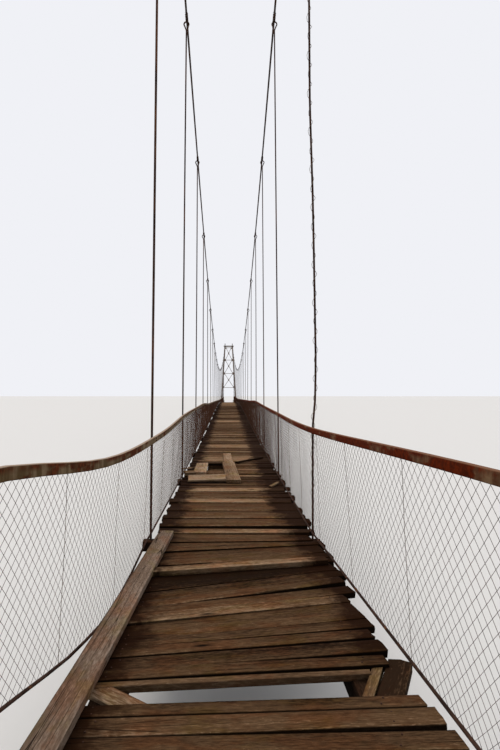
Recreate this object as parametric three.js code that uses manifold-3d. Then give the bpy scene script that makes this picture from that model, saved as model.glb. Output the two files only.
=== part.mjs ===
// A suspension footbridge with a plank deck, as a 1:10 scale model.
// Units are millimetres, +Z is up and +Y runs along the bridge.
// Midspan is at Y = 0, the towers stand at both ends of the deck, and Z = 0 is the ground.

import * as THREE from 'three';
import { mergeVertices } from 'three/addons/utils/BufferGeometryUtils.js';
import Module from 'manifold-3d';

const wasm = await Module();
wasm.setup();

// One metre of the real bridge, in millimetres of the model.
const METRE = 100;
// The gap between pieces that touch.
const GAP = 0.3;

// Deck
const BAY = 3.5 * METRE;
const BAYS = 26;
const SPAN = BAYS * BAY;
const MIDDLE_HANGER = 12;
const DECK_END_Z = 0.62 * METRE;
const DECK_RISE = 0.74 * METRE;
const CAMBER_POWER = 2.6;
const DECK_LEFT = -0.75 * METRE;
const DECK_RIGHT = 0.77 * METRE;
const PLANK_THICK = 0.045 * METRE;
const STRINGER_XS = [-0.62 * METRE, 0.66 * METRE];
const STRINGER_WIDE = 0.14 * METRE;
const STRINGER_TALL = 0.12 * METRE;
const CROSSBEAM_HALF = 0.875 * METRE;
const CROSSBEAM_TALL = 0.1 * METRE;
const CROSSBEAM_DROP = 0.006 * METRE;
const END_CROSSBEAM_EXTRA = 0.16 * METRE;

// Places where boards are missing: centre along the bridge in bays, length, left and right edge.
const DECK_HOLES = [
  { bay: 0.243, long: 0.24 * METRE, left: -0.47 * METRE, right: 0.56 * METRE },
  { bay: 2.31, long: 0.9 * METRE, left: -0.44 * METRE, right: -0.12 * METRE },
];

// Loose board that lies along the left edge of the deck
const KERB_LONG = 4.4 * METRE;
const KERB_WIDE = 0.14 * METRE;
const KERB_THICK = 0.05 * METRE;
const KERB_END_BAY = 0.985;
const KERB_END_X = -0.64 * METRE;
const KERB_SKEW = 0.034;

// Hangers, handrails and lower side bars
const HANGER_HALF = 0.8 * METRE;
const END_HANGER_HALF = 0.96 * METRE;
const HANGER_RADIUS = 0.01 * METRE;
const HANGER_SIDES = 6;
const WASHER = 0.06 * METRE;
const WASHER_THICK = 0.015 * METRE;
const THREAD_BELOW_WASHER = 0.05 * METRE;
const HOLE_RADIUS = 0.02 * METRE;
const RAIL_WIDE = 0.028 * METRE;
const RAIL_TALL = 0.052 * METRE;
const LEFT_RAIL_HIGH = 1.02 * METRE;
const RIGHT_RAIL_HIGH = 1.07 * METRE;
const TOWER_RAIL_HIGH = 1.14 * METRE;
const LOWER_BAR_RADIUS = 0.009 * METRE;
const LOWER_BAR_HIGH = 0.03 * METRE;
const LOWER_BAR_BOW = 0.12 * METRE;

// Main cables
const CABLE_RADIUS = 0.0135 * METRE;
const CABLE_SIDES = 8;
const CABLE_LOW_Z = DECK_END_Z + 3.72 * METRE;
const CABLE_SAG = 6.5 * METRE;
const CABLE_HALF_MIDDLE = 0.86 * METRE;
const CABLE_HALF_TOWER = 0.62 * METRE;
const SADDLE_RADIUS = 0.3 * METRE;
const BACKSTAY_ANGLE = 46 * Math.PI / 180;

// Towers
const TOWER_Y = SPAN / 2;
const LEG_RADIUS = 0.11 * METRE;
const LEG_SIDES = 16;
const LEG_FOOT_HALF = 1.27 * METRE;
const LEG_PLATE = 0.42 * METRE;
const LEG_CAP = 0.3 * METRE;
const PLATE_THICK = 0.03 * METRE;
const FOOTING = 0.8 * METRE;
const FOOTING_TALL = 0.3 * METRE;
const TOP_BEAM_LONG = 1.7 * METRE;
const TOP_BEAM_WIDE = 0.2 * METRE;
const TOP_BEAM_TALL = 0.2 * METRE;
const SADDLE_WIDE = 0.12 * METRE;
const SADDLE_HALF_LONG = 0.26 * METRE;
const SADDLE_BASE = 0.06 * METRE;
const BRACE_RADIUS = 0.04 * METRE;
const BRACE_SIDES = 4;
const BRACE_INSET = 0.1 * METRE;
const BRACE_LEVELS = [3.3 * METRE, 5.7 * METRE, 8.0 * METRE, 10.1 * METRE];

// Anchor blocks and abutments
const ANCHOR_Z = 0.75 * METRE;
const ANCHOR_HALF = 1.25 * METRE;
const ANCHOR_WIDE = 0.9 * METRE;
const ANCHOR_FACE = 0.5 * METRE;
const ANCHOR_BACK = 1.5 * METRE;
const ABUTMENT_HALF = 0.8 * METRE;
const ABUTMENT_LEVEL = 1.2 * METRE;
const ABUTMENT_RAMP = 2.9 * METRE;
const ABUTMENT_SHELF = 0.45 * METRE;
const RAMP_END_Z = 0.06 * METRE;

// Finishes: colour, roughness, metalness
const FINISHES = {
  rusty_steel: [0x4a3227, 0.8, 0.5],
  painted_rail: [0x8c4a33, 0.6, 0.3],
  wire_rope: [0x3a2f29, 0.7, 0.6],
  old_timber: [0x6e6157, 0.9, 0],
  tower_steel: [0x5a4a40, 0.7, 0.4],
  concrete: [0x8f8c84, 0.95, 0],
};

const bridge = new THREE.Group();

// Turns a three.js geometry into a solid that can be joined and cut.
function toSolid(geometry) {
  const bare = geometry.clone();
  bare.deleteAttribute('normal');
  bare.deleteAttribute('uv');
  const merged = mergeVertices(bare);
  const mesh = new wasm.Mesh({
    numProp: 3,
    vertProperties: new Float32Array(merged.attributes.position.array),
    triVerts: new Uint32Array(merged.index.array),
  });
  return new wasm.Manifold(mesh);
}

function toGeometry(solid) {
  const mesh = solid.getMesh();
  const geometry = new THREE.BufferGeometry();
  geometry.setAttribute('position', new THREE.BufferAttribute(mesh.vertProperties, 3));
  geometry.setIndex(new THREE.BufferAttribute(mesh.triVerts, 1));
  geometry.computeVertexNormals();
  return geometry;
}

function join(geometries) {
  return geometries.map(toSolid).reduce((whole, next) => whole.add(next));
}

function addPiece(name, geometry, finish) {
  const [color, roughness, metalness] = FINISHES[finish];
  const material = new THREE.MeshStandardMaterial({ color, roughness, metalness });
  const mesh = new THREE.Mesh(geometry, material);
  mesh.name = name;
  bridge.add(mesh);
}

function box(wide, long, tall, x, y, z) {
  return new THREE.BoxGeometry(wide, long, tall).translate(x, y, z);
}

// Extrudes an outline of [y, z] points sideways, from x = left to x = right.
function sideOutline(points, left, right) {
  const shape = new THREE.Shape(points.map(([y, z]) => new THREE.Vector2(y, z)));
  const geometry = new THREE.ExtrudeGeometry(shape, { depth: right - left, bevelEnabled: false });
  const turn = new THREE.Matrix4().makeBasis(
    new THREE.Vector3(0, 1, 0), new THREE.Vector3(0, 0, 1), new THREE.Vector3(1, 0, 0));
  return geometry.applyMatrix4(turn).translate(left, 0, 0);
}

// A route whose sections lie exactly on its own points.
class Route extends THREE.Curve {
  constructor(points) {
    super();
    this.points = points;
  }
  getPointAt(u, target = new THREE.Vector3()) {
    const place = u * (this.points.length - 1);
    const index = Math.min(Math.round(place), this.points.length - 1);
    return target.copy(this.points[index]);
  }
  getTangentAt(u, target = new THREE.Vector3()) {
    const last = this.points.length - 1;
    const index = Math.round(u * last);
    const before = this.points[Math.max(index - 1, 0)];
    const after = this.points[Math.min(index + 1, last)];
    return target.subVectors(after, before).normalize();
  }
}

// A round bar, pipe or cable along a list of points.
function bar(points, radius, sides) {
  const corners = [];
  for (let side = 0; side < sides; side += 1) {
    const angle = 2 * Math.PI * (side + 0.5) / sides;
    corners.push(new THREE.Vector2(radius * Math.cos(angle), radius * Math.sin(angle)));
  }
  const path = new Route(points.map((point) => new THREE.Vector3(...point)));
  const settings = { steps: points.length - 1, extrudePath: path };
  return new THREE.ExtrudeGeometry(new THREE.Shape(corners), settings);
}

// A route for flat bars: one side of the section stays upright.
class UprightRoute extends Route {
  computeFrenetFrames(steps) {
    const frames = { tangents: [], normals: [], binormals: [] };
    const up = new THREE.Vector3(0, 0, 1);
    for (let step = 0; step <= steps; step += 1) {
      const tangent = this.getTangentAt(step / steps);
      frames.tangents.push(tangent);
      frames.normals.push(new THREE.Vector3().crossVectors(up, tangent).normalize());
      frames.binormals.push(up);
    }
    return frames;
  }
}

// A flat bar along a list of points, which run through the middle of its section.
function flatBar(points, wide, tall) {
  const shape = new THREE.Shape();
  shape.moveTo(-wide / 2, -tall / 2).lineTo(wide / 2, -tall / 2);
  shape.lineTo(wide / 2, tall / 2).lineTo(-wide / 2, tall / 2).closePath();
  const path = new UprightRoute(points.map((point) => new THREE.Vector3(...point)));
  return new THREE.ExtrudeGeometry(shape, { steps: points.length - 1, extrudePath: path });
}

// Where things are along the bridge

function bayY(bay) {
  return (bay - MIDDLE_HANGER) * BAY;
}

function deckTop(y) {
  const reach = Math.max(Math.cos(Math.PI * y / SPAN), 0);
  return DECK_END_Z + DECK_RISE * Math.pow(reach, CAMBER_POWER);
}

function cableZ(y) {
  return CABLE_LOW_Z + CABLE_SAG * Math.pow(2 * y / SPAN, 2);
}

function cableHalf(y) {
  const share = Math.pow(2 * y / SPAN, 2);
  return CABLE_HALF_MIDDLE + (CABLE_HALF_TOWER - CABLE_HALF_MIDDLE) * share;
}

function hangerHalf(hanger) {
  const isEnd = hanger === 0 || hanger === BAYS - 2;
  return isEnd ? END_HANGER_HALF : HANGER_HALF;
}

// Height at which a hanger leaves the crossbeam and starts to lean towards its cable
function kinkZ(y) {
  return crossbeamTop(y) + METRE / 10;
}

// Inner side of the hanger, or of the tower leg, that stands at a whole bay number.
function supportHalf(bay, z) {
  if (bay <= NEAR_END || bay >= FAR_END) {
    return legHalf(z) - LEG_RADIUS;
  }
  const y = bayY(bay);
  const share = Math.max((z - kinkZ(y)) / (cableZ(y) - kinkZ(y)), 0);
  return THREE.MathUtils.lerp(hangerHalf(bay), cableHalf(y), share) - HANGER_RADIUS;
}

// The same for any place along the bridge, on a straight line from one support to the next.
function sideHalf(bay, z) {
  const before = Math.floor(bay);
  return THREE.MathUtils.lerp(supportHalf(before, z), supportHalf(before + 1, z), bay - before);
}

// Bay numbers at which a long piece gets a section, from one bay number to another.
function bayStops(from, to, perBay) {
  const stops = [from];
  for (let step = Math.floor(from * perBay) + 1; step / perBay < to - 0.01; step += 1) {
    if (step / perBay > from + 0.01) {
      stops.push(step / perBay);
    }
  }
  stops.push(to);
  return stops;
}

// The lengths in which boards, deck frame and side panels are built, in bay numbers.
const NEAR_END = -1;
const FAR_END = BAYS - 1;
const BOARD_JOINTS = [NEAR_END, 5.5, 11.5, 18.5, 20.5, 22.5, FAR_END];
const DECK_JOINTS = [NEAR_END, 5.5, 11.5, 18.5, FAR_END];

// Deck boards, two stringers and the crossbeams

function slopingStrip(stops, topDrop, tall, left, right) {
  const ys = stops.map(bayY);
  const top = ys.map((y) => [y, deckTop(y) - topDrop]).reverse();
  const bottom = ys.map((y) => [y, deckTop(y) - topDrop - tall]);
  return sideOutline([...bottom, ...top], left, right);
}

function trimmedStops(from, to, perBay) {
  const trim = GAP / BAY;
  return bayStops(from + trim, to - trim, perBay);
}

function buildDeckBoards(name, from, to) {
  const stops = trimmedStops(from, to, 1);
  let solid = toSolid(slopingStrip(stops, 0, PLANK_THICK, DECK_LEFT, DECK_RIGHT));
  for (const hole of DECK_HOLES) {
    if (hole.bay > from && hole.bay < to) {
      const y = bayY(hole.bay);
      const cutter = box(hole.right - hole.left, hole.long, METRE, (hole.left + hole.right) / 2, y, deckTop(y));
      solid = solid.subtract(toSolid(cutter));
    }
  }
  addPiece(name, toGeometry(solid), 'old_timber');
}

function crossbeamTop(y) {
  return deckTop(y) - PLANK_THICK - CROSSBEAM_DROP;
}

function hangersBetween(from, to) {
  const hangers = [];
  for (let hanger = 0; hanger <= BAYS - 2; hanger += 1) {
    if (hanger > from && hanger < to) {
      hangers.push(hanger);
    }
  }
  return hangers;
}

function buildDeckFrame(name, from, to) {
  const stops = trimmedStops(from, to, 1);
  const pieces = [];
  for (const x of STRINGER_XS) {
    const half = STRINGER_WIDE / 2;
    pieces.push(slopingStrip(stops, PLANK_THICK + GAP, STRINGER_TALL, x - half, x + half));
  }
  const holes = [];
  for (const hanger of hangersBetween(from, to)) {
    const y = bayY(hanger);
    const extra = hangerHalf(hanger) > HANGER_HALF ? END_CROSSBEAM_EXTRA : 0;
    const wide = 2 * (CROSSBEAM_HALF + extra);
    pieces.push(box(wide, CROSSBEAM_TALL, CROSSBEAM_TALL, 0, y, crossbeamTop(y) - CROSSBEAM_TALL / 2));
    for (const side of [-1, 1]) {
      const foot = [side * hangerHalf(hanger), y, crossbeamTop(y) - METRE / 2];
      const head = [side * hangerHalf(hanger), y, crossbeamTop(y) + METRE / 2];
      holes.push(bar([foot, head], HOLE_RADIUS, 4));
    }
  }
  const solid = join(pieces).subtract(join(holes));
  addPiece(name, toGeometry(solid), 'old_timber');
}

function buildKerbBoard() {
  const board = new THREE.BoxGeometry(KERB_WIDE, KERB_LONG, KERB_THICK);
  const farY = bayY(KERB_END_BAY);
  board.translate(0, -KERB_LONG / 2, deckTop(farY) + KERB_THICK / 2 + 2 * GAP);
  board.rotateZ(-Math.atan(KERB_SKEW));
  board.translate(KERB_END_X, farY, 0);
  addPiece('kerb_board', board, 'old_timber');
}

// Hangers with the lower side bar that joins them

function buildHangerPanel(name, side, from, to) {
  const pieces = [];
  for (const hanger of hangersBetween(from, to)) {
    const y = bayY(hanger);
    const footX = side * hangerHalf(hanger);
    const washerZ = crossbeamTop(y) - CROSSBEAM_TALL - GAP - WASHER_THICK / 2;
    const rodBottom = washerZ - THREAD_BELOW_WASHER;
    const rodTop = cableZ(y) - CABLE_RADIUS - GAP;
    const rod = [[footX, y, rodBottom], [footX, y, kinkZ(y)], [side * cableHalf(y), y, rodTop]];
    pieces.push(bar(rod, HANGER_RADIUS, HANGER_SIDES));
    pieces.push(box(WASHER, WASHER, WASHER_THICK, footX, y, washerZ));
  }
  const perBay = side < 0 && from < 0 ? 4 : 1;
  const lower = trimmedStops(from, to, perBay).map((bay) => {
    const z = deckTop(bayY(bay)) + LOWER_BAR_HIGH;
    const fromTower = Math.min(bay - NEAR_END, FAR_END - bay);
    const besideLeg = fromTower < 0.1 ? LOWER_BAR_RADIUS + GAP : 0;
    return [side * (sideHalf(bay, z) + nearBow(bay, side) - besideLeg), bayY(bay), z];
  });
  pieces.push(bar(lower, LOWER_BAR_RADIUS, HANGER_SIDES));
  addPiece(name, toGeometry(join(pieces)), 'rusty_steel');
}

// The lower bar on the left is bent outwards between the first two hangers.
function nearBow(bay, side) {
  const isBent = side < 0 && bay > 0 && bay < 1;
  return isBent ? LOWER_BAR_BOW * Math.sin(Math.PI * bay) : 0;
}

// Handrails

// Height of the top of the handrail above the deck. On the left, near the first tower, the bar is
// bent: it dips after the first hanger, and then climbs to the tower.
const LEFT_NEAR_RAIL = [
  [-1, 1.14 * METRE], [0, 1.14 * METRE], [0.15, 1.11 * METRE], [0.3, 1.04 * METRE],
  [0.56, 0.965 * METRE], [1, 0.97 * METRE], [2, 1.03 * METRE], [3, LEFT_RAIL_HIGH],
];

// Height of the top of the handrail above the ground from the fifth hanger to midspan, and the same
// beyond it. There the bar has sunk: the deck climbs towards it, and it runs nearly level.
const LEVEL_FROM = 4;
const LEVEL_RAIL_LEFT = [[LEVEL_FROM, 1.77 * METRE], [5, 1.71 * METRE], [12, 1.64 * METRE]];
const LEVEL_RAIL_RIGHT = [[LEVEL_FROM, 1.85 * METRE], [5, 1.815 * METRE], [12, 1.7 * METRE]];

// The height that a table of bays and heights gives at one bay.
function heightAt(table, bay) {
  const next = table.findIndex(([stop]) => stop >= bay);
  if (next <= 0) {
    return table[0][1];
  }
  const [fromBay, fromHigh] = table[next - 1];
  const [toBay, toHigh] = table[next];
  return THREE.MathUtils.mapLinear(bay, fromBay, toBay, fromHigh, toHigh);
}

function railHigh(bay, side) {
  const high = side < 0 ? LEFT_RAIL_HIGH : RIGHT_RAIL_HIGH;
  const fromNearEnd = Math.min(bay, NEAR_END + FAR_END - bay);
  if (fromNearEnd >= LEVEL_FROM) {
    return heightAt(side < 0 ? LEVEL_RAIL_LEFT : LEVEL_RAIL_RIGHT, fromNearEnd) - deckTop(bayY(bay));
  }
  if (side < 0 && bay < 3) {
    return heightAt(LEFT_NEAR_RAIL, bay);
  }
  const fromTower = Math.min(bay - NEAR_END, FAR_END - bay);
  const share = THREE.MathUtils.clamp(2 - fromTower, 0, 1);
  return THREE.MathUtils.lerp(high, TOWER_RAIL_HIGH, share);
}

function buildHandrail(name, side, from, to) {
  let stops = trimmedStops(from, to, 1);
  if (side < 0) {
    const bends = LEFT_NEAR_RAIL.map(([bay]) => bay).filter((bay) => bay > from + 0.01 && bay < to);
    stops = [...new Set([...stops, ...bends])].sort((a, b) => a - b);
  }
  const points = stops.map((bay) => {
    const top = deckTop(bayY(bay)) + railHigh(bay, side);
    const half = sideHalf(bay, top) - GAP - RAIL_WIDE / 2;
    return [side * half, bayY(bay), top - RAIL_TALL / 2];
  });
  addPiece(name, flatBar(points, RAIL_WIDE, RAIL_TALL), 'painted_rail');
}

// Main cables, in one length from anchor block to anchor block

// The curve over one saddle, seen from the side, with y measured from midspan outwards.
function saddleCurve() {
  let end = TOWER_Y;
  let slope = 0;
  for (let round = 0; round < 4; round += 1) {
    slope = Math.atan(4 * CABLE_SAG * (2 * end / SPAN) / SPAN);
    end = TOWER_Y - SADDLE_RADIUS * Math.sin(slope);
  }
  const centreZ = cableZ(end) - SADDLE_RADIUS * Math.cos(slope);
  return { slope, centreZ };
}

const SADDLE = saddleCurve();

function legHalf(z) {
  const top = SADDLE.centreZ;
  return THREE.MathUtils.mapLinear(z, FOOTING_TALL, top, LEG_FOOT_HALF, CABLE_HALF_TOWER);
}

// A point of the cable on the saddle, where its slope outwards is the given angle.
function onSaddle(angle, radius) {
  return [TOWER_Y + radius * Math.sin(angle), SADDLE.centreZ + radius * Math.cos(angle)];
}

function anchorPoint() {
  const [y, z] = onSaddle(BACKSTAY_ANGLE, SADDLE_RADIUS);
  return [y + (z - ANCHOR_Z) / Math.tan(BACKSTAY_ANGLE), ANCHOR_Z];
}

// The half of a cable that lies beyond one tower, from the tower outwards.
function backHalf() {
  const points = [];
  const saddleSteps = 6;
  for (let step = 0; step <= saddleSteps; step += 1) {
    const angle = THREE.MathUtils.lerp(-SADDLE.slope, BACKSTAY_ANGLE, step / saddleSteps);
    const [y, z] = onSaddle(angle, SADDLE_RADIUS);
    points.push([CABLE_HALF_TOWER, y, z]);
  }
  const [y, z] = anchorPoint();
  points.push([ANCHOR_HALF, y, z]);
  return points;
}

function cableRoute(side) {
  const perBay = 2;
  const back = backHalf();
  const edge = back[0][1] / BAY + MIDDLE_HANGER;
  const span = bayStops(2 * MIDDLE_HANGER - edge, edge, perBay).slice(1, -1).map((bay) => {
    const y = bayY(bay);
    return [cableHalf(y), y, cableZ(y)];
  });
  const near = back.map(([x, y, z]) => [x, -y, z]).reverse();
  return [...near, ...span, ...back].map(([x, y, z]) => [side * x, y, z]);
}

function buildMainCable(name, side) {
  addPiece(name, bar(cableRoute(side), CABLE_RADIUS, CABLE_SIDES), 'wire_rope');
}

// Towers

const SADDLE_FOOT_Z = SADDLE.centreZ;
const TOP_BEAM_Z = SADDLE_FOOT_Z - SADDLE_BASE - GAP - TOP_BEAM_TALL;
const LEG_TOP_Z = TOP_BEAM_Z - GAP;

function legAxis(side, end, from, to) {
  return [[side * legHalf(from), end * TOWER_Y, from], [side * legHalf(to), end * TOWER_Y, to]];
}

function buildTowerLeg(name, side, end) {
  const footZ = FOOTING_TALL + GAP;
  const y = end * TOWER_Y;
  const pipe = bar(legAxis(side, end, footZ + PLATE_THICK / 2, LEG_TOP_Z - PLATE_THICK / 2), LEG_RADIUS, LEG_SIDES);
  const foot = box(LEG_PLATE, LEG_PLATE, PLATE_THICK, side * legHalf(footZ), y, footZ + PLATE_THICK / 2);
  const cap = box(LEG_CAP, LEG_CAP, PLATE_THICK, side * legHalf(LEG_TOP_Z), y, LEG_TOP_Z - PLATE_THICK / 2);
  addPiece(name, toGeometry(join([pipe, foot, cap])), 'tower_steel');
}

// The cross bracing between the two legs of a tower, all above the walkway.
function buildTowerBracing(name, end) {
  const y = end * TOWER_Y;
  const bars = [];
  const onLeg = (side, z) => [side * legHalf(z), y, z];
  const point = (side, z) => [side * (legHalf(z) - LEG_RADIUS - BRACE_INSET), y, z];
  for (const z of BRACE_LEVELS) {
    bars.push(bar([onLeg(-1, z), onLeg(1, z)], BRACE_RADIUS, BRACE_SIDES));
  }
  for (let level = 1; level < BRACE_LEVELS.length; level += 1) {
    const low = BRACE_LEVELS[level - 1];
    const high = BRACE_LEVELS[level];
    bars.push(bar([point(-1, low), point(1, high)], BRACE_RADIUS, BRACE_SIDES));
    bars.push(bar([point(1, low), point(-1, high)], BRACE_RADIUS, BRACE_SIDES));
  }
  const legs = [-1, 1].map((side) => bar(legAxis(side, end, 0, LEG_TOP_Z), LEG_RADIUS + GAP, LEG_SIDES));
  addPiece(name, toGeometry(join(bars).subtract(join(legs))), 'tower_steel');
}

function buildSaddle(name, side, end) {
  const [first, last] = [-1, 1];
  const outline = [[first * SADDLE_HALF_LONG, -SADDLE_BASE], [last * SADDLE_HALF_LONG, -SADDLE_BASE]];
  const arcSteps = 10;
  const reach = Math.asin(SADDLE_HALF_LONG / SADDLE_RADIUS);
  for (let step = 0; step <= arcSteps; step += 1) {
    const angle = THREE.MathUtils.lerp(reach, -reach, step / arcSteps);
    outline.push([SADDLE_RADIUS * Math.sin(angle), SADDLE_RADIUS * Math.cos(angle)]);
  }
  const x = side * CABLE_HALF_TOWER;
  const placed = outline.map(([y, z]) => [y + end * TOWER_Y, z + SADDLE.centreZ]);
  const block = sideOutline(placed, x - SADDLE_WIDE / 2, x + SADDLE_WIDE / 2);
  const groove = bar(cableRoute(side), CABLE_RADIUS + GAP, CABLE_SIDES);
  addPiece(name, toGeometry(toSolid(block).subtract(toSolid(groove))), 'tower_steel');
}

function buildTower(end, word) {
  const y = end * TOWER_Y;
  for (const [side, hand] of [[-1, 'left'], [1, 'right']]) {
    buildTowerLeg(`${word}_tower_leg_${hand}`, side, end);
    buildSaddle(`${word}_saddle_${hand}`, side, end);
    const footing = box(FOOTING, FOOTING, FOOTING_TALL, side * LEG_FOOT_HALF, y, FOOTING_TALL / 2);
    addPiece(`${word}_footing_${hand}`, footing, 'concrete');
  }
  const beam = box(TOP_BEAM_LONG, TOP_BEAM_WIDE, TOP_BEAM_TALL, 0, y, TOP_BEAM_Z + TOP_BEAM_TALL / 2);
  addPiece(`${word}_tower_top_beam`, beam, 'tower_steel');
  buildTowerBracing(`${word}_tower_bracing`, end);
}

// Ends of the bridge: concrete blocks that hold the cables, and the ramps onto the deck

function buildAnchorBlock(name, side, end) {
  const [y, z] = anchorPoint();
  const along = [-Math.cos(BACKSTAY_ANGLE), Math.sin(BACKSTAY_ANGLE)];
  const face = [y - GAP * along[0], z - GAP * along[1]];
  const lower = [face[0] - ANCHOR_FACE * along[1], face[1] + ANCHOR_FACE * along[0]];
  const upper = [face[0] + ANCHOR_FACE * along[1], face[1] - ANCHOR_FACE * along[0]];
  const outline = [[lower[0], 0], lower, upper, [y + ANCHOR_BACK, upper[1]], [y + ANCHOR_BACK, 0]];
  const x = side * ANCHOR_HALF;
  const turned = outline.map(([outY, outZ]) => [end * outY, outZ]);
  const ordered = end > 0 ? turned.reverse() : turned;
  addPiece(name, sideOutline(ordered, x - ANCHOR_WIDE / 2, x + ANCHOR_WIDE / 2), 'concrete');
}

function buildAbutment(name, end) {
  const seatZ = DECK_END_Z - PLANK_THICK - STRINGER_TALL - 2 * GAP;
  const front = TOWER_Y - ABUTMENT_SHELF;
  const back = TOWER_Y + ABUTMENT_LEVEL;
  const outline = [[front, 0], [front, seatZ], [TOWER_Y, seatZ], [TOWER_Y, DECK_END_Z],
    [back, DECK_END_Z], [back + ABUTMENT_RAMP, RAMP_END_Z], [back + ABUTMENT_RAMP, 0]];
  const turned = outline.map(([y, z]) => [end * y, z]);
  const ordered = end > 0 ? turned.reverse() : turned;
  addPiece(name, sideOutline(ordered, -ABUTMENT_HALF, ABUTMENT_HALF), 'concrete');
}

// The whole bridge

for (let length = 1; length < BOARD_JOINTS.length; length += 1) {
  buildDeckBoards(`deck_boards_${length}`, BOARD_JOINTS[length - 1], BOARD_JOINTS[length]);
}
for (let length = 1; length < DECK_JOINTS.length; length += 1) {
  const from = DECK_JOINTS[length - 1];
  const to = DECK_JOINTS[length];
  buildDeckFrame(`deck_frame_${length}`, from, to);
  buildHangerPanel(`hangers_left_${length}`, -1, from, to);
  buildHangerPanel(`hangers_right_${length}`, 1, from, to);
}
buildKerbBoard();

const RAIL_JOINTS = [NEAR_END, 7.5, 16.5, FAR_END];
for (let length = 1; length < RAIL_JOINTS.length; length += 1) {
  const from = RAIL_JOINTS[length - 1];
  const to = RAIL_JOINTS[length];
  buildHandrail(`handrail_left_${length}`, -1, from, to);
  buildHandrail(`handrail_right_${length}`, 1, from, to);
}

buildMainCable('main_cable_left', -1);
buildMainCable('main_cable_right', 1);

for (const [end, word] of [[-1, 'near'], [1, 'far']]) {
  buildTower(end, word);
  buildAbutment(`${word}_abutment`, end);
  buildAnchorBlock(`${word}_anchor_left`, -1, end);
  buildAnchorBlock(`${word}_anchor_right`, 1, end);
}

export default bridge;
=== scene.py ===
# Looks of a long suspension footbridge with a plank deck, a 1:10 scale model.
# Metres, +Z up, +Y along the bridge from the near tower to the far one, midspan at Y = 0.
import math
import random

import bmesh
import bpy
import numpy as np
from mathutils import Euler, Matrix, Vector


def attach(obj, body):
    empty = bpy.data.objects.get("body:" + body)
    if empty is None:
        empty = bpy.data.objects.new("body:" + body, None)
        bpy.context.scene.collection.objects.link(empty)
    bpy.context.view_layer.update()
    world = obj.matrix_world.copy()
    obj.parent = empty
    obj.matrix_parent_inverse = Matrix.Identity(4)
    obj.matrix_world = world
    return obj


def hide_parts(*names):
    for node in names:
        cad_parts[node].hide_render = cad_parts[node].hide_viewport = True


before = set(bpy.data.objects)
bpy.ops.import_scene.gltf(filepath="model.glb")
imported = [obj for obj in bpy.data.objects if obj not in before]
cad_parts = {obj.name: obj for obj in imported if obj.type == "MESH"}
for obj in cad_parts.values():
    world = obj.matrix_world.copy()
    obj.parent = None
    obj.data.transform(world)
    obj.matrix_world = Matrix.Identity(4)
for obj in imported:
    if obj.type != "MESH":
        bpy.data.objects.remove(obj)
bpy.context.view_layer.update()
scene = bpy.context.scene

# Sizes, the same as the solids have. METRE is one metre of the real bridge, in metres of the model.
METRE = 0.1
MM = METRE / 1000
GAP = 0.3 / 1000
BAY = 3.5 * METRE
SPAN = 26 * BAY
# A bay number counts the pairs of hangers, 0 to 24, with the towers at -1 and 25.
NEAR_END, FAR_END = -1, 25
HANGERS = range(25)
MIDDLE_HANGER = 12
DECK_END_Z, DECK_RISE, CAMBER_POWER = 0.62 * METRE, 0.74 * METRE, 2.6
PLANK_THICK = 45 * MM
STRINGER_XS = (-0.62 * METRE, 0.66 * METRE)
STRINGER_WIDE, STRINGER_TALL = 140 * MM, 120 * MM
CROSSBEAM_HALF, CROSSBEAM_TALL, CROSSBEAM_DROP = 875 * MM, 100 * MM, 6 * MM
END_CROSSBEAM_EXTRA = 160 * MM
KERB_LONG, KERB_WIDE, KERB_THICK = 4.4 * METRE, 140 * MM, 50 * MM
KERB_END_BAY, KERB_END_X, KERB_SKEW = 0.985, -0.64 * METRE, math.atan(0.034)
HANGER_HALF, END_HANGER_HALF, HANGER_RADIUS = 0.8 * METRE, 0.96 * METRE, 10 * MM
KINK_HIGH = METRE / 10
WASHER, WASHER_THICK = 60 * MM, 15 * MM
RAIL_WIDE, RAIL_TALL = 28 * MM, 52 * MM
LOWER_BAR_RADIUS, LOWER_BAR_HIGH = 9 * MM, 30 * MM
CABLE_RADIUS = 13.5 * MM
CABLE_LOW_Z = DECK_END_Z + 3.72 * METRE
CABLE_SAG = 6.5 * METRE
CABLE_HALF_MIDDLE, CABLE_HALF_TOWER = 0.86 * METRE, 0.62 * METRE
SADDLE_RADIUS, SADDLE_BASE = 0.3 * METRE, 0.06 * METRE
BACKSTAY_ANGLE = math.radians(46)
TOWER_Y = SPAN / 2
LEG_RADIUS, LEG_FOOT_HALF, FOOTING_TALL = 0.11 * METRE, 1.27 * METRE, 0.3 * METRE
LEG_PLATE, LEG_CAP, PLATE = 0.42 * METRE, 0.3 * METRE, 0.03 * METRE
TOP_BEAM_LONG, TOP_BEAM_SIDE = 1.7 * METRE, 0.2 * METRE
BRACE_RADIUS, BRACE_INSET = 0.04 * METRE, 0.1 * METRE
BRACE_LEVELS = tuple(z * METRE for z in (3.3, 5.7, 8.0, 10.1))
ANCHOR_Z, ANCHOR_HALF = 0.75 * METRE, 1.25 * METRE
SIDES = (("left", -1), ("right", 1))
ENDS = (("near", -1), ("far", 1))
LEVEL = (0, 0, 0)


# Where things are along the bridge

def bay_y(bay):
    return (bay - MIDDLE_HANGER) * BAY


def bay_at(y):
    return y / BAY + MIDDLE_HANGER


START_Y = bay_y(0)


def deck_top(y):
    return DECK_END_Z + DECK_RISE * max(math.cos(math.pi * y / SPAN), 0) ** CAMBER_POWER


def cable_z(y):
    return CABLE_LOW_Z + CABLE_SAG * (2 * y / SPAN) ** 2


def cable_half(y):
    return CABLE_HALF_MIDDLE + (CABLE_HALF_TOWER - CABLE_HALF_MIDDLE) * (2 * y / SPAN) ** 2


def crossbeam_top(y):
    return deck_top(y) - PLANK_THICK - CROSSBEAM_DROP


def kink_z(y):
    return crossbeam_top(y) + KINK_HIGH


def hanger_half(hanger):
    return END_HANGER_HALF if hanger in (HANGERS[0], HANGERS[-1]) else HANGER_HALF


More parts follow.
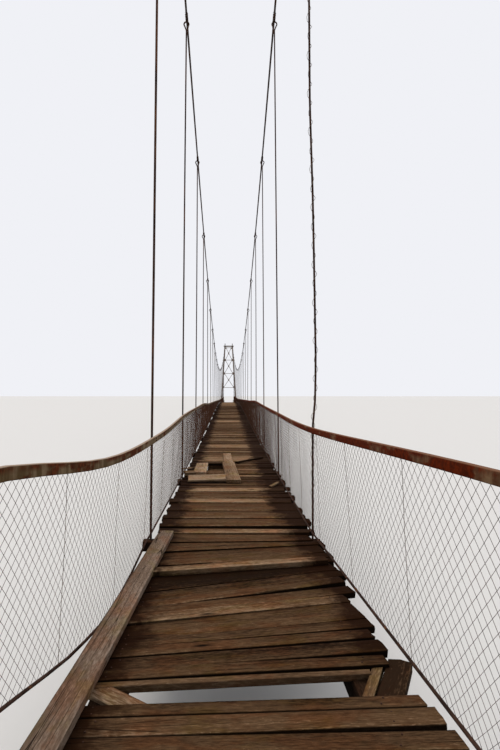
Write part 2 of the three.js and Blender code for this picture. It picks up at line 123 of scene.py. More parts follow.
def saddle_curve():
    """Slope of the cable where it meets the saddle's curve, and the height of the curve's centre. Each
    depends on the other, so they are worked out in a few rounds."""
    end = TOWER_Y
    for _ in range(4):
        slope = math.atan(4 * CABLE_SAG * (2 * end / SPAN) / SPAN)
        end = TOWER_Y - SADDLE_RADIUS * math.sin(slope)
    return slope, cable_z(end) - SADDLE_RADIUS * math.cos(slope)


SADDLE_SLOPE, SADDLE_Z = saddle_curve()
TOP_BEAM_Z = SADDLE_Z - SADDLE_BASE - GAP - TOP_BEAM_SIDE
LEG_TOP_Z = TOP_BEAM_Z - GAP


def leg_half(z):
    share = (z - FOOTING_TALL) / (SADDLE_Z - FOOTING_TALL)
    return LEG_FOOT_HALF + (CABLE_HALF_TOWER - LEG_FOOT_HALF) * share


def support_half(bay, z):
    """Inner side of the hanger, or of the tower leg, at a whole bay number."""
    if bay <= NEAR_END or bay >= FAR_END:
        return leg_half(z) - LEG_RADIUS
    y = bay_y(bay)
    share = max((z - kink_z(y)) / (cable_z(y) - kink_z(y)), 0)
    return hanger_half(bay) + (cable_half(y) - hanger_half(bay)) * share - HANGER_RADIUS


def side_half(bay, z):
    low = math.floor(bay)
    share = bay - low
    return support_half(low, z) * (1 - share) + support_half(low + 1, z) * share


def from_tower(bay):
    return min(bay - NEAR_END, FAR_END - bay)


def read_off(table, place):
    """The height that a table of places and heights in real metres gives at one place."""
    return METRE * float(np.interp(place, *zip(*table)))


def stretch(start, stop, per_bay):
    """Bay numbers along a length between two joints, short of both by a gap."""
    return np.linspace(start + GAP / BAY, stop - GAP / BAY, int((stop - start) * per_bay) + 1)


# Bay numbers, and the top of the handrail in real metres: above the deck near the first tower on the left,
# where it is bent, and above the ground from hanger 4 to midspan, where it has sunk and runs nearly level.
LEFT_NEAR_RAIL = ((-1, 1.14), (0, 1.14), (0.15, 1.11), (0.3, 1.04), (0.56, 0.965), (1, 0.97), (2, 1.03),
                  (3, 1.02))
LEVEL_RAIL = {-1: ((4, 1.77), (5, 1.71), (12, 1.64)), 1: ((4, 1.85), (5, 1.815), (12, 1.7))}
# Above the deck everywhere else: on each side, and at the towers.
USUAL_RAIL, TOWER_RAIL = {-1: 1.02, 1: 1.07}, 1.14


def rail_high(bay, side):
    """Height of the handrail's top above the deck."""
    from_end = min(bay, NEAR_END + FAR_END - bay)
    if from_end >= LEVEL_RAIL[side][0][0]:
        return read_off(LEVEL_RAIL[side], from_end) - deck_top(bay_y(bay))
    if side < 0 and bay < LEFT_NEAR_RAIL[-1][0]:
        return read_off(LEFT_NEAR_RAIL, bay)
    usual = USUAL_RAIL[side]
    return METRE * (usual + (TOWER_RAIL - usual) * min(max(2 - from_tower(bay), 0), 1))


def smooth(stops, values, wanted):
    """A curve through all the values, without the corners of straight lines between them."""
    stops, values = np.array(stops, float), np.array(values, float)
    slopes = np.gradient(values, stops, axis=0)
    place = np.clip(np.searchsorted(stops, wanted, side="right") - 1, 0, len(stops) - 2)
    step = (stops[place + 1] - stops[place])[:, None]
    t = (wanted - stops[place])[:, None] / step
    return ((1 + 2 * t) * (1 - t) ** 2 * values[place] + t * (1 - t) ** 2 * step * slopes[place]
            + t * t * (3 - 2 * t) * values[place + 1] + t * t * (t - 1) * step * slopes[place + 1])


RAIL_STEPS = stretch(NEAR_END, FAR_END, 8)


def rail_line(side):
    """Middle of the handrail's section, at every eighth of a bay."""
    bends = [bay for bay, _ in LEFT_NEAR_RAIL] if side < 0 else []
    stops = sorted({*range(NEAR_END, FAR_END + 1), *bends})
    points = []
    for bay in stops:
        top = deck_top(bay_y(bay)) + rail_high(bay, side)
        half = side_half(bay, top) - GAP - RAIL_WIDE / 2
        points.append((side * half, bay_y(bay), top - RAIL_TALL / 2))
    return smooth(stops, points, RAIL_STEPS)


RAIL_LINES = {side: rail_line(side) for _, side in SIDES}


def rail_point(bay, side):
    return np.array([np.interp(bay, RAIL_STEPS, RAIL_LINES[side][:, axis]) for axis in range(3)])


# How far the slack lower bar on the left lies above its usual place (real metres), by bay number.
SLACK_BAR = ((-1, 0), (0, 0.22), (0.12, 0.125), (0.26, 0.003), (0.36, -0.075), (0.5, -0.14), (0.64, -0.142),
             (0.78, -0.1), (0.9, -0.025), (1, 0))


def lower_bar_point(bay, side):
    slack = read_off(SLACK_BAR, bay) if side < 0 else 0
    z = deck_top(bay_y(bay)) + LOWER_BAR_HIGH + slack
    beside_leg = LOWER_BAR_RADIUS + GAP if from_tower(bay) < 0.1 else 0
    return np.array([side * (side_half(bay, z) - beside_leg), bay_y(bay), z])


def on_saddle(angle):
    return TOWER_Y + SADDLE_RADIUS * math.sin(angle), SADDLE_Z + SADDLE_RADIUS * math.cos(angle)


def anchor_point():
    y, z = on_saddle(BACKSTAY_ANGLE)
    return y + (z - ANCHOR_Z) / math.tan(BACKSTAY_ANGLE), ANCHOR_Z


def cable_route(side):
    """The main cable from anchor block to anchor block, fine enough to look smooth."""
    angles = np.linspace(-SADDLE_SLOPE, BACKSTAY_ANGLE, 13)
    back = [(CABLE_HALF_TOWER, *on_saddle(angle)) for angle in angles]
    back.append((ANCHOR_HALF, *anchor_point()))
    first = back[0][1]
    span = [(cable_half(y), y, cable_z(y)) for y in np.linspace(-first, first, 133)[1:-1]]
    near = [(x, -y, z) for x, y, z in reversed(back)]
    return np.array([(side * x, y, z) for x, y, z in near + span + back])


# Small helpers

def linear(code):
    """Turns an sRGB hex value into the linear colour that a shader takes."""
    parts = [int(code[i:i + 2], 16) / 255 for i in (1, 3, 5)]
    return (*(p / 12.92 if p <= 0.04045 else ((p + 0.055) / 1.055) ** 2.4 for p in parts), 1)


def put(tree, kind, *values, **more):
    """Adds one node. The values go to its first inputs in turn. A name with a capital letter is an input,
    To_Min for To Min, and any other name is a setting."""
    families = ("ShaderNode", "GeometryNode", "FunctionNode", "")
    made = tree.nodes.new(next(family + kind for family in families if hasattr(bpy.types, family + kind)))
    for name, value in more.items():
        if name[0].islower():
            setattr(made, name, value)
    live = [socket for socket in made.inputs if socket.enabled]
    pairs = list(zip(live, values))
    for name, value in more.items():
        if name[0].isupper():
            pairs.append((next(s for s in live if s.name == name.replace("_", " ")), value))
    for target, value in pairs:
        if isinstance(value, bpy.types.Node):
            value = next(socket for socket in value.outputs if socket.enabled)
        if isinstance(value, bpy.types.NodeSocket):
            tree.links.new(value, target)
        else:
            target.default_value = linear(value) if target.type == "RGBA" else value
    return made


# Materials

def start_finish(name, specular, roughness=None, metallic=0.0):
    """A material with its fixed values. Its roughness is left alone where a pattern will give it."""
    material = bpy.data.materials.new(name)
    material.use_nodes = True
    tree = material.node_tree
    shader = tree.nodes["Principled BSDF"]
    shader.inputs["Metallic"].default_value = metallic
    shader.inputs["Specular IOR Level"].default_value = specular
    if roughness is not None:
        shader.inputs["Roughness"].default_value = roughness
    return material, tree, shader, put(tree, "TexCoord").outputs["Object"]


def patches(tree, place, per_metre, low, high, seed=0.0, detail=4.0):
    """A mask of irregular patches. per_metre says how many there are each way in a metre of the model."""
    spread = put(tree, "Mapping", place, Location=(seed, seed * 1.7, seed * 2.3), Scale=per_metre)
    cloud = put(tree, "TexNoise", spread, 1.0, detail, 0.6)
    return put(tree, "MapRange", cloud, low, high, interpolation_type="SMOOTHSTEP")


def coats(tree, ground, *layers):
    """Lays colours over a ground. A layer is the mask where it covers, its colour and how it blends."""
    for mask, colour, *blend in layers:
        blending = blend[0] if blend else "MIX"
        ground = put(tree, "Mix", mask, ground, colour, data_type="RGBA", blend_type=blending)
    return ground


def set_surface(tree, shader, colour, height, deep, roughness=None):
    tree.links.new(next(s for s in colour.outputs if s.enabled), shader.inputs["Base Color"])
    bump = put(tree, "Bump", Strength=1.0, Distance=deep, Height=height)
    tree.links.new(bump.outputs[0], shader.inputs["Normal"])
    if roughness is not None:
        tree.links.new(roughness.outputs[0], shader.inputs["Roughness"])


def split_wood(tree, grain, seed, calm_share):
    """1 where the wood is whole, 0 in the long splits and in the knots. calm_share is how much has none."""
    seam = put(tree, "Mapping", grain, Location=(seed, 0.3, 0.1), Scale=(6, 200, 200))
    cloud = put(tree, "TexNoise", seam, 1.3, 3.0)
    swung = put(tree, "VectorMath", cloud.outputs["Color"], (0.0, 0.3, 0.3), seam, operation="MULTIPLY_ADD")
    cells = put(tree, "TexVoronoi", swung, 1.0, feature="DISTANCE_TO_EDGE")
    whole = put(tree, "MapRange", cells, 0.003, 0.022)
    calm = patches(tree, grain, (11, 60, 60), calm_share + 0.05, calm_share - 0.05, seed + 13)
    whole = put(tree, "Math", whole, calm, operation="MAXIMUM")
    spots = put(tree, "Mapping", grain, Location=(seed, 0, 0), Scale=(13, 42, 42))
    spots = put(tree, "TexVoronoi", spots, 1.0)
    rare = put(tree, "SeparateXYZ", spots.outputs["Color"])
    rare = put(tree, "Math", rare.outputs["X"], 0.82, operation="LESS_THAN")
    knot = put(tree, "MapRange", spots.outputs["Distance"], 0.03, 0.1)
    knot = put(tree, "Math", knot, rare, operation="MAXIMUM")
    return put(tree, "Math", whole, knot, operation="MINIMUM")


def edge_dirt(tree, place):
    """1 along both edges of the deck, where nobody walks and dirt stays. On the right it begins about a
    metre past the first hanger, further out at first."""
    ragged = put(tree, "TexNoise", place, 55.0, 4.0, 0.65)
    ragged = put(tree, "Math", ragged, 0.5, operation="SUBTRACT")
    across = put(tree, "SeparateXYZ", place)
    moved = put(tree, "Math", ragged, 0.5 * METRE, across.outputs["X"], operation="MULTIPLY_ADD")
    further = put(tree, "MapRange", across.outputs["Y"], START_Y + 1.5 * METRE, START_Y + 5 * METRE,
                  -0.22 * METRE, 0.0)
    right = put(tree, "Math", moved, further, operation="ADD")
    right = put(tree, "MapRange", right, 0.4 * METRE, 0.54 * METRE)
    begun = put(tree, "MapRange", across.outputs["Y"], START_Y + 0.85 * METRE, START_Y + 1.25 * METRE)
    right = put(tree, "Math", right, begun, operation="MULTIPLY")
    left = put(tree, "MapRange", moved, -0.48 * METRE, -0.62 * METRE)
    both = put(tree, "Math", left, right, operation="MAXIMUM")
    return put(tree, "Math", both, 0.93, operation="MULTIPLY")


def old_timber(name, dark, mid, pale, crack, seed, dirt=None, side_shade=0.97, calm_share=0.57):
    """Sawn softwood, weathered for years: the soft wood has worn away between the fibres, it has split
    along the grain, and no oil or paint is left, so it is dull. The sides in the gaps carry painted shade,
    the far edge of each top carries painted shade and dirt, and the near edges are painted pale, partly as
    wear from feet and partly as a painted highlight. The fibres are drawn 0.9 mm apart, 9 mm on the real
    bridge, some three times as coarse as real ones, so that they show."""
    material, tree, shader, place = start_finish(name, 0.02, 0.9)
    grain = put(tree, "Attribute", attribute_name="grain").outputs["Vector"]
    tone = put(tree, "Attribute", attribute_name="tone").outputs["Fac"]
    local = put(tree, "Attribute", attribute_name="local").outputs["Vector"]
    local = put(tree, "SeparateXYZ", local)
    fibres = patches(tree, grain, (230, 1150, 1150), 0.32, 0.68, seed, 6.0)
    bands = patches(tree, grain, (24, 420, 420), 0.36, 0.64, seed + 3)
    bleach = patches(tree, place, (13, 16, 16), 0.35, 0.68, seed + 5)
    flecks = patches(tree, grain, (300, 1000, 1000), 0.6, 0.7, seed + 7)
    # How pale the wood is: the near edge, pale partly from wear and partly as a painted highlight, then each
    # pattern by its share, with local Y making each plank paler towards its near edge.
    amount = put(tree, "MapRange", local.outputs["Y"], -0.42, -0.47, 0.11, 0.21)
    for part, share in ((fibres, 0.36), (bands, 0.2), (bleach, 0.14), (flecks, 0.25),
                        (local.outputs["Y"], -0.2), (tone, 0.8)):
        amount = put(tree, "Math", part, share, amount, operation="MULTIPLY_ADD")
    low = put(tree, "MapRange", amount, 0.38, 1.08)
    high = put(tree, "MapRange", amount, 1.08, 1.7)
    ruddy = patches(tree, grain, (38, 75, 75), 0.45, 0.62, seed + 11)
    olive = patches(tree, grain, (30, 60, 60), 0.5, 0.66, seed + 15)
    sound = split_wood(tree, grain, seed, calm_share)
    wood = coats(tree, dark, (low, mid), (high, pale), (ruddy, "#ffe9dd", "MULTIPLY"),
                 (olive, "#f1f2d6", "MULTIPLY"))
    wood = coats(tree, crack, (sound, wood))
    if dirt:
        wood = coats(tree, wood, (edge_dirt(tree, place), dirt))
    # Painted shade in the gaps: the sides go dark towards the bottom, and the far edge of each top goes
    # dark, partly as dirt. It is weaker on the pale boards, so that their front faces stay lit.
    deep = put(tree, "MapRange", local.outputs["Z"], 0.47, 0.34)
    far_edge = put(tree, "MapRange", local.outputs["Y"], 0.43, 0.475, 0.0, 0.85)
    deep = put(tree, "Math", deep, far_edge, operation="MAXIMUM")
    share = put(tree, "MapRange", tone, 0.6, 1.4, side_shade, 0.3 * side_shade)
    deep = put(tree, "Math", deep, share, operation="MULTIPLY")
    wood = coats(tree, wood, (deep, crack))
    height = put(tree, "Math", fibres, 0.35, sound, operation="MULTIPLY_ADD")
    set_surface(tree, shader, wood, height, 0.0003)
    return material


def painted_rail(name, seed, paint, paint_pale, rust, rust_dark, rust_share, top_highlight_and_wear):
    """Rolled steel, brushed with paint long ago: the paint is chalky where it holds, and the bare steel
    between has gone to dull scaly rust, first along the lower edge, where water hangs. The upper face
    and its corners are painted the palest, partly as wear from hands and partly as a painted highlight."""
    material, tree, shader, place = start_finish(name, 0.03)
    ring = put(tree, "Attribute", attribute_name="ring").outputs["Vector"]
    high = put(tree, "SeparateXYZ", ring).outputs["Y"]
    lower = put(tree, "MapRange", high, 0.1 * RAIL_TALL, -0.3 * RAIL_TALL)
    wet = patches(tree, place, (40, 50, 60), 0.35, 0.6, seed + 2)
    lower = put(tree, "Math", lower, wet, operation="MULTIPLY")
    bare = patches(tree, place, (20, 26, 60), rust_share - 0.05, rust_share + 0.05, seed, 6.0)
    bare = put(tree, "Math", bare, lower, operation="MAXIMUM")
    streaks = patches(tree, place, (60, 120, 14), 0.42, 0.62, seed + 4)
    scale = patches(tree, place, (420, 420, 420), 0.35, 0.7, seed + 8)
    facing = put(tree, "SeparateXYZ", put(tree, "NewGeometry").outputs["Normal"])
    # Painted highlight and wear: faces turned up take the pale top colour, partly worn by hands and partly
    # lit by the sky above.
    up = put(tree, "MapRange", facing.outputs["Z"], 0.3, 0.7, 0.0, 0.85)
    rusty = coats(tree, rust_dark, (scale, rust))
    colour = coats(tree, paint, (streaks, paint_pale), (bare, rusty), (up, top_highlight_and_wear))
    height = put(tree, "Math", scale, 0.5, bare, operation="MULTIPLY_ADD")
    rough = put(tree, "MapRange", bare, To_Min=0.6, To_Max=0.9)
    set_surface(tree, shader, colour, height, 0.00006, rough)
    return material


def rusty_steel(name, dark, mid, bright, seed):
    """Hot rolled mild steel without any coat: an even dark rust with a fine dry grain and brighter
    orange where water has run."""
    material, tree, shader, place = start_finish(name, 0.06, 0.85)
    blotch = patches(tree, place, (90, 90, 60), 0.35, 0.65, seed)
    runs = patches(tree, place, (160, 160, 18), 0.55, 0.75, seed + 4)
    grit = patches(tree, place, (1400, 1400, 1400), 0.3, 0.7, seed + 7)
    set_surface(tree, shader, coats(tree, dark, (blotch, mid), (runs, bright)), grit, 0.00003)
    return material


def wire_rope():
    """Six-strand galvanised wire rope whose zinc has gone: dark, greasy in the valleys between the
    strands and rubbed lighter on their crowns."""
    material, tree, shader, place = start_finish("dark_stranded_wire_rope", 0.15, 0.7, 0.15)
    ring = put(tree, "Attribute", attribute_name="ring").outputs["Vector"]
    along = put(tree, "Attribute", attribute_name="along").outputs["Fac"]
    sides = put(tree, "SeparateXYZ", ring)
    turn = put(tree, "Math", sides.outputs["Y"], sides.outputs["X"], operation="ARCTAN2")
    # One turn of a strand in 200 mm of the real rope.
    wound = put(tree, "Math", along, 2 * math.pi / (200 * MM), turn, operation="MULTIPLY_ADD")
    wave = put(tree, "Math", wound, 3.0, operation="MULTIPLY")
    wave = put(tree, "Math", wave, operation="SINE")
    crown = put(tree, "Math", wave, operation="ABSOLUTE")
    rust = patches(tree, place, (40, 40, 40), 0.45, 0.65, 3.0)
    rusty = coats(tree, "#20130d", (crown, "#462f22"))
    colour = coats(tree, "#1a1412", (crown, "#352b25"), (rust, rusty))
    set_surface(tree, shader, colour, crown, 0.0003)
    return material


def tower_paint():
    """Steel pipe under old grey-brown oil paint: chalky, faded in wide patches, with rust breaking
    through in spots and running down."""
    material, tree, shader, place = start_finish("chalky_tower_paint", 0.4)
    fade = patches(tree, place, (9, 9, 4), 0.35, 0.65, 1.0)
    spots = patches(tree, place, (70, 70, 55), 0.6, 0.64, 4.0, 8.0)
    runs = patches(tree, place, (110, 110, 7), 0.58, 0.72, 9.0)
    grit = patches(tree, place, (500, 500, 500), 0.3, 0.7, 2.0)
    rust = coats(tree, "#4b2616", (grit, "#7a4225"))
    colour = coats(tree, "#6d6259", (fade, "#857a6f"), (runs, "#74523d"), (spots, rust))
    height = put(tree, "Math", grit, 0.3, spots, operation="MULTIPLY_ADD")
    rough = put(tree, "MapRange", spots, To_Min=0.5, To_Max=0.9)
    set_surface(tree, shader, colour, height, 0.00008, rough)
    return material


def cast_concrete():
    """Concrete cast in board forms: a faint line every 150 mm of height, small air holes, grey with
    darker water stains that run down and a little green at the foot."""
    material, tree, shader, place = start_finish("board_cast_concrete", 0.3, 0.92)
    sides = put(tree, "SeparateXYZ", place)
    boards = put(tree, "Math", sides.outputs["Z"], 1 / (150 * MM), operation="MULTIPLY")
    boards = put(tree, "Math", boards, operation="FRACT")
    seam = put(tree, "MapRange", boards, 0.0, 0.07)
    mottle = patches(tree, place, (28, 28, 28), 0.3, 0.7, 1.0, 6.0)
    stain = patches(tree, place, (55, 55, 9), 0.5, 0.72, 5.0)
    holes = put(tree, "TexVoronoi", place, 260.0)
    hole = put(tree, "MapRange", holes.outputs["Distance"], 0.06, 0.16)
    green = put(tree, "MapRange", sides.outputs["Z"], 0.03, 0.0, 0.0, 0.6)
    green = put(tree, "Math", green, mottle, operation="MULTIPLY")
    grey = coats(tree, "#7f7b72", (mottle, "#a09c92"), (stain, "#67625a"), (green, "#5c5f48"))
    height = put(tree, "Math", mottle, 0.5, seam, operation="MULTIPLY_ADD")
    height = put(tree, "Math", hole, 0.8, height, operation="MULTIPLY_ADD")
    # The air holes are painted dark: painted shade inside the pits, which the bump also pushes in.
    set_surface(tree, shader, coats(tree, "#4d4a44", (hole, grey)), height, 0.0003)
    return material


def floor_paper():
    """Plain matt studio paper, without any pattern."""
    material, _, shader, _ = start_finish("pale_studio_paper", 0.1, 0.95)
    shader.inputs["Base Color"].default_value = linear("#d9d7d3")
    return material


# Some woods are given a weaker painted shade on their sides than the 0.97 that the others take.
PLANK_WOOD = old_timber("weathered_plank_softwood", "#1f130a", "#5f4731", "#aa8d6f", "#0d0703", 1.0,
                        dirt="#211006")
LOOSE_WOOD = old_timber("bleached_plank_softwood", "#2b1d12", "#6f563f", "#b39a7f", "#120a05", 2.0,
                        side_shade=0.6)
KERB_WOOD = old_timber("grey_board_softwood", "#33251a", "#6f5c4d", "#a4907f", "#1a110a", 4.0,
                       side_shade=0.35, calm_share=0.44)
FRAME_WOOD = old_timber("damp_beam_softwood", "#21150d", "#3d2c20", "#5f4c3c", "#130b06", 7.0)
# Each rail's last colour is its pale top: wear and painted highlight.
RAIL_PAINTS = {
    -1: painted_rail("grey_brushed_rail_paint", 2.0, "#524027", "#75624a", "#5e2f18", "#3a1d10", 0.58,
                     "#a8937f"),
    1: painted_rail("orange_rusted_rail_steel", 6.0, "#553a26", "#745a40", "#602107", "#421707", 0.42,
                    "#7d5a44"),
}
ROD_RUST = rusty_steel("rusted_hanger_rod_steel", "#2a1d17", "#443027", "#67422c", 1.0)
NET_RUST = rusty_steel("rusted_net_wire_steel", "#2e1a10", "#4a2a19", "#66402a", 5.0)
TIE_WIRE = rusty_steel("dull_zinc_tie_wire", "#5c5044", "#7d7061", "#5c3a28", 8.0)
ROPE, TOWER_PAINT, CONCRETE = wire_rope(), tower_paint(), cast_concrete()


# Geometry node trees. Each ends in Realize Instances and Set Material.

def start_tree(name, *sockets):
    tree = bpy.data.node_groups.new(name, "GeometryNodeTree")
    for label, kind, value in (("Geometry", "Geometry", None), *sockets, ("Material", "Material", None)):
        socket = tree.interface.new_socket(label, in_out="INPUT", socket_type="NodeSocket" + kind)
        if value is not None:
            socket.default_value = value
    tree.interface.new_socket("Geometry", in_out="OUTPUT", socket_type="NodeSocketGeometry")
    return tree, tree.nodes.new("NodeGroupInput").outputs


def end_tree(tree, given, shape):
    real = put(tree, "RealizeInstances", shape)
    done = put(tree, "SetMaterial", real, Material=given["Material"])
    put(tree, "NodeGroupOutput", done)
    return tree


def remember_place(tree, shape, name):
    """Stores where each point of a section or a board lies in it, for the materials to read."""
    return put(tree, "StoreNamedAttribute", shape, Name=name, Value=put(tree, "InputPosition"),
               data_type="FLOAT_VECTOR", domain="POINT")


def wire_tree():
    """Round wires, rods, pipes and ropes along the lines of a guide mesh. Its points hold thick, the
    radius, and free, how much a point may wander from the line."""
    tree, given = start_tree("wires_along_lines", ("Sides", "Int", 6), ("Wander", "Float", 0.0),
                             ("Wander spread", "Float", 4.0), ("Seed", "Float", 0.0))
    free = put(tree, "InputNamedAttribute", "free", data_type="FLOAT")
    thick = put(tree, "InputNamedAttribute", "thick", data_type="FLOAT")
    seeds = put(tree, "CombineXYZ", given["Seed"], 0.0, given["Seed"])
    start = put(tree, "VectorMath", put(tree, "InputPosition"), seeds, operation="ADD")
    cloud = put(tree, "TexNoise", start, given["Wander spread"], 2.0)
    centred = put(tree, "VectorMath", cloud.outputs["Color"], (0.5, 0.5, 0.5), operation="SUBTRACT")
    reach = put(tree, "Math", given["Wander"], free, operation="MULTIPLY")
    step = put(tree, "VectorMath", centred, reach, operation="SCALE")
    moved = put(tree, "SetPosition", given["Geometry"], Offset=step)
    line = put(tree, "MeshToCurve", moved)
    length = put(tree, "SplineParameter").outputs["Length"]
    line = put(tree, "StoreNamedAttribute", line, Name="along", Value=length, data_type="FLOAT",
               domain="POINT")
    circle = put(tree, "CurvePrimitiveCircle", Resolution=given["Sides"], Radius=1.0, mode="RADIUS")
    circle = remember_place(tree, circle.outputs["Curve"], "ring")
    tube = put(tree, "CurveToMesh", line, circle, Scale=thick, Fill_Caps=True)
    return end_tree(tree, given, tube)


def bar_tree():
    """Flat bars with rounded corners along lines, with one side of the section kept upright."""
    tree, given = start_tree("bars_along_lines", ("Width", "Float", 0.01), ("Height", "Float", 0.01),
                             ("Corner", "Float", 0.001), ("Corner cuts", "Int", 3))
    line = put(tree, "MeshToCurve", given["Geometry"])
    line = put(tree, "SetCurveNormal", line, mode="Z_UP")
    section = put(tree, "CurvePrimitiveQuadrilateral", Width=given["Width"], Height=given["Height"])
    section = put(tree, "FilletCurve", section, Count=given["Corner cuts"], Radius=given["Corner"],
                  mode="POLY")
    section = remember_place(tree, section, "ring")
    bar = put(tree, "CurveToMesh", line, section, Scale=1.0, Fill_Caps=True)
    return end_tree(tree, given, bar)


def board_tree():
    """Sawn boards and beams on points. A point holds size, turn, key and tone: a board's length, width
    and thickness, how it is turned, a number of its own and how pale it is."""
    tree, given = start_tree("boards_on_points", ("Segments", "Int", 8), ("Cuts", "Int", 1),
                             ("Corner", "Float", 0.035), ("Ragged", "Float", 0.0012),
                             ("Warp", "Float", 0.0006))
    turn, size, local, grain = (put(tree, "InputNamedAttribute", name, data_type="FLOAT_VECTOR")
                                for name in ("turn", "size", "local", "grain"))
    key = put(tree, "InputNamedAttribute", "key", data_type="FLOAT")
    turned = put(tree, "EulerToRotation", turn)
    spine = put(tree, "CurvePrimitiveLine", Start=(-0.5, 0, 0), End=(0.5, 0, 0), mode="POINTS")
    spine = put(tree, "ResampleCurve", spine, Count=given["Segments"])
    spine = put(tree, "SetCurveNormal", spine, mode="Z_UP")
    section = put(tree, "CurvePrimitiveQuadrilateral", Width=1.0, Height=1.0)
    section = put(tree, "FilletCurve", section, Count=1, Radius=given["Corner"], mode="POLY")
    section = put(tree, "SubdivideCurve", section, given["Cuts"])
    board = put(tree, "CurveToMesh", spine, section, Scale=1.0, Fill_Caps=True)
    board = remember_place(tree, board, "local")
    laid = put(tree, "InstanceOnPoints", given["Geometry"], Instance=board, Rotation=turned, Scale=size)
    laid = put(tree, "RealizeInstances", laid)
    real = put(tree, "VectorMath", local, size, operation="MULTIPLY")
    apart = put(tree, "VectorMath", (3.7, 6.1, 1.3), key, operation="SCALE")
    own = put(tree, "VectorMath", real, apart, operation="ADD")
    laid = put(tree, "StoreNamedAttribute", laid, Name="grain", Value=own, data_type="FLOAT_VECTOR",
               domain="POINT")
    # Ends broken off unevenly, faces warped.
    end = put(tree, "SeparateXYZ", local)
    out = put(tree, "Math", end.outputs["X"], operation="SIGN")
    at_end = put(tree, "Math", end.outputs["X"], operation="ABSOLUTE")
    at_end = put(tree, "Math", at_end, 0.495, operation="GREATER_THAN")
    splinter = put(tree, "TexNoise", grain, 260.0, 3.0)
    splinter = put(tree, "Math", splinter, 0.5, operation="SUBTRACT")
    for factor in (at_end, out, given["Ragged"]):
        splinter = put(tree, "Math", splinter, factor, operation="MULTIPLY")
    spread = put(tree, "VectorMath", grain, (9, 45, 30), operation="MULTIPLY")
    cloud = put(tree, "TexNoise", spread, 1.0, 3.0)
    cloud = put(tree, "VectorMath", cloud.outputs["Color"], (0.5, 0.5, 0.5), operation="SUBTRACT")
    cloud = put(tree, "VectorMath", cloud, given["Warp"], operation="SCALE")
    step = put(tree, "VectorMath", put(tree, "CombineXYZ", splinter), cloud, operation="ADD")
    step = put(tree, "RotateVector", step, turned)
    return end_tree(tree, given, put(tree, "SetPosition", laid, Offset=step))


def stud_tree():
    """Nail heads, bolt heads and nuts on points, which hold turn."""
    tree, given = start_tree("studs_on_points", ("Sides", "Int", 6), ("Radius", "Float", 0.001),
                             ("Height", "Float", 0.001))
    stud = put(tree, "MeshCylinder", Vertices=given["Sides"], Radius=given["Radius"], Depth=given["Height"])
    turn = put(tree, "InputNamedAttribute", "turn", data_type="FLOAT_VECTOR")
    studs = put(tree, "InstanceOnPoints", given["Geometry"], Instance=stud.outputs["Mesh"],
                Rotation=put(tree, "EulerToRotation", turn))
    return end_tree(tree, given, studs)


WIRES, BARS, BOARDS, STUDS = wire_tree(), bar_tree(), board_tree(), stud_tree()


def lines_mesh(lines, **facts):
    """A guide mesh of open lines. A fact is one value for all points, or one list for each line."""
    mesh = bpy.data.meshes.new("guide")
    points = np.concatenate(lines)
    starts = np.cumsum([0] + [len(line) for line in lines])
    edges = [(i, i + 1) for a, b in zip(starts, starts[1:]) for i in range(a, b - 1)]
    mesh.from_pydata(points.tolist(), edges, [])
    for name, value in facts.items():
        values = np.full(len(points), value) if np.isscalar(value) else np.concatenate(value)
        mesh.attributes.new(name, "FLOAT", "POINT").data.foreach_set("value", values.astype(np.float32))
    return mesh


def points_mesh(points, **facts):
    """A guide mesh of loose points. A fact holds one number, or one triple, for each point."""
    mesh = bpy.data.meshes.new("guide")
    mesh.from_pydata([tuple(point) for point in points], [], [])
    for name, values in facts.items():
        values = np.array(values, np.float32)
        kind, key = ("FLOAT_VECTOR", "vector") if values.ndim == 2 else ("FLOAT", "value")
        mesh.attributes.new(name, kind, "POINT").data.foreach_set(key, values.ravel())
    return mesh


def new_piece(name, mesh):
    piece = bpy.data.objects.new(name, mesh)
    scene.collection.objects.link(piece)
    return piece


def flatten(piece):
    """Turns a piece and its modifiers into a plain mesh."""
    graph = bpy.context.evaluated_depsgraph_get()
    mesh = bpy.data.meshes.new_from_object(piece.evaluated_get(graph), preserve_all_data_layers=True,
                                           depsgraph=graph)
    piece.modifiers.clear()
    piece.data = mesh
    mesh.name = piece.name
    return piece


def grow(name, tree, guide, material, **sizes):
    """Runs a tree on a guide and keeps the result as a plain mesh."""
    piece = new_piece(name, guide)
    modifier = piece.modifiers.new("shape", "NODES")
    modifier.node_group = tree
    inputs = {item.name: item.identifier for item in tree.interface.items_tree
              if item.item_type == "SOCKET" and item.in_out == "INPUT"}
    modifier[inputs["Material"]] = material
    for label, value in sizes.items():
        modifier[inputs[label.replace("_", " ")]] = value
    return flatten(piece)


def shade_round(piece):
    piece.data.shade_smooth()
    piece.data.set_sharp_from_angle(angle=math.radians(40))
    return piece


def wires(name, lines, material, thick, sides):
    """Smooth round wires along lines, thick as one radius or as one list of radii for each line."""
    return shade_round(grow(name, WIRES, lines_mesh(lines, thick=thick), material, Sides=sides))


def studs(name, points, turns, radius, high):
    """Hexagonal nuts and heads."""
    return grow(name, STUDS, points_mesh(points, turn=turns), ROD_RUST, Sides=6, Radius=radius, Height=high)


def keep(piece, slot, *nodes):
    """Every finished piece rides on the bridge, and may stand for solids. slot is not used."""
    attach(piece, "root")
    if nodes:
        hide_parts(*nodes)


def shape_piece(name, shape, material, bevel):
    """A piece of a finished bmesh, with its edges broken by a bevel."""
    mesh = bpy.data.meshes.new(name)
    shape.to_mesh(mesh)
    shape.free()
    mesh.materials.append(material)
    piece = new_piece(name, mesh)
    modifier = piece.modifiers.new("edges", "BEVEL")
    modifier.width, modifier.segments, modifier.limit_method = bevel, 2, "ANGLE"
    modifier.angle_limit = math.radians(35)
    return flatten(piece)


def block_set(name, blocks, material, bevel):
    """Plates and blocks, each a centre, a size and a turn."""
    shape = bmesh.new()
    for centre, size, turn in blocks:
        place = Matrix.Translation(centre) @ Euler(turn).to_matrix().to_4x4() @ Matrix.Diagonal((*size, 1))
        bmesh.ops.create_cube(shape, size=1, matrix=place)
    return shape_piece(name, shape, material, bevel)


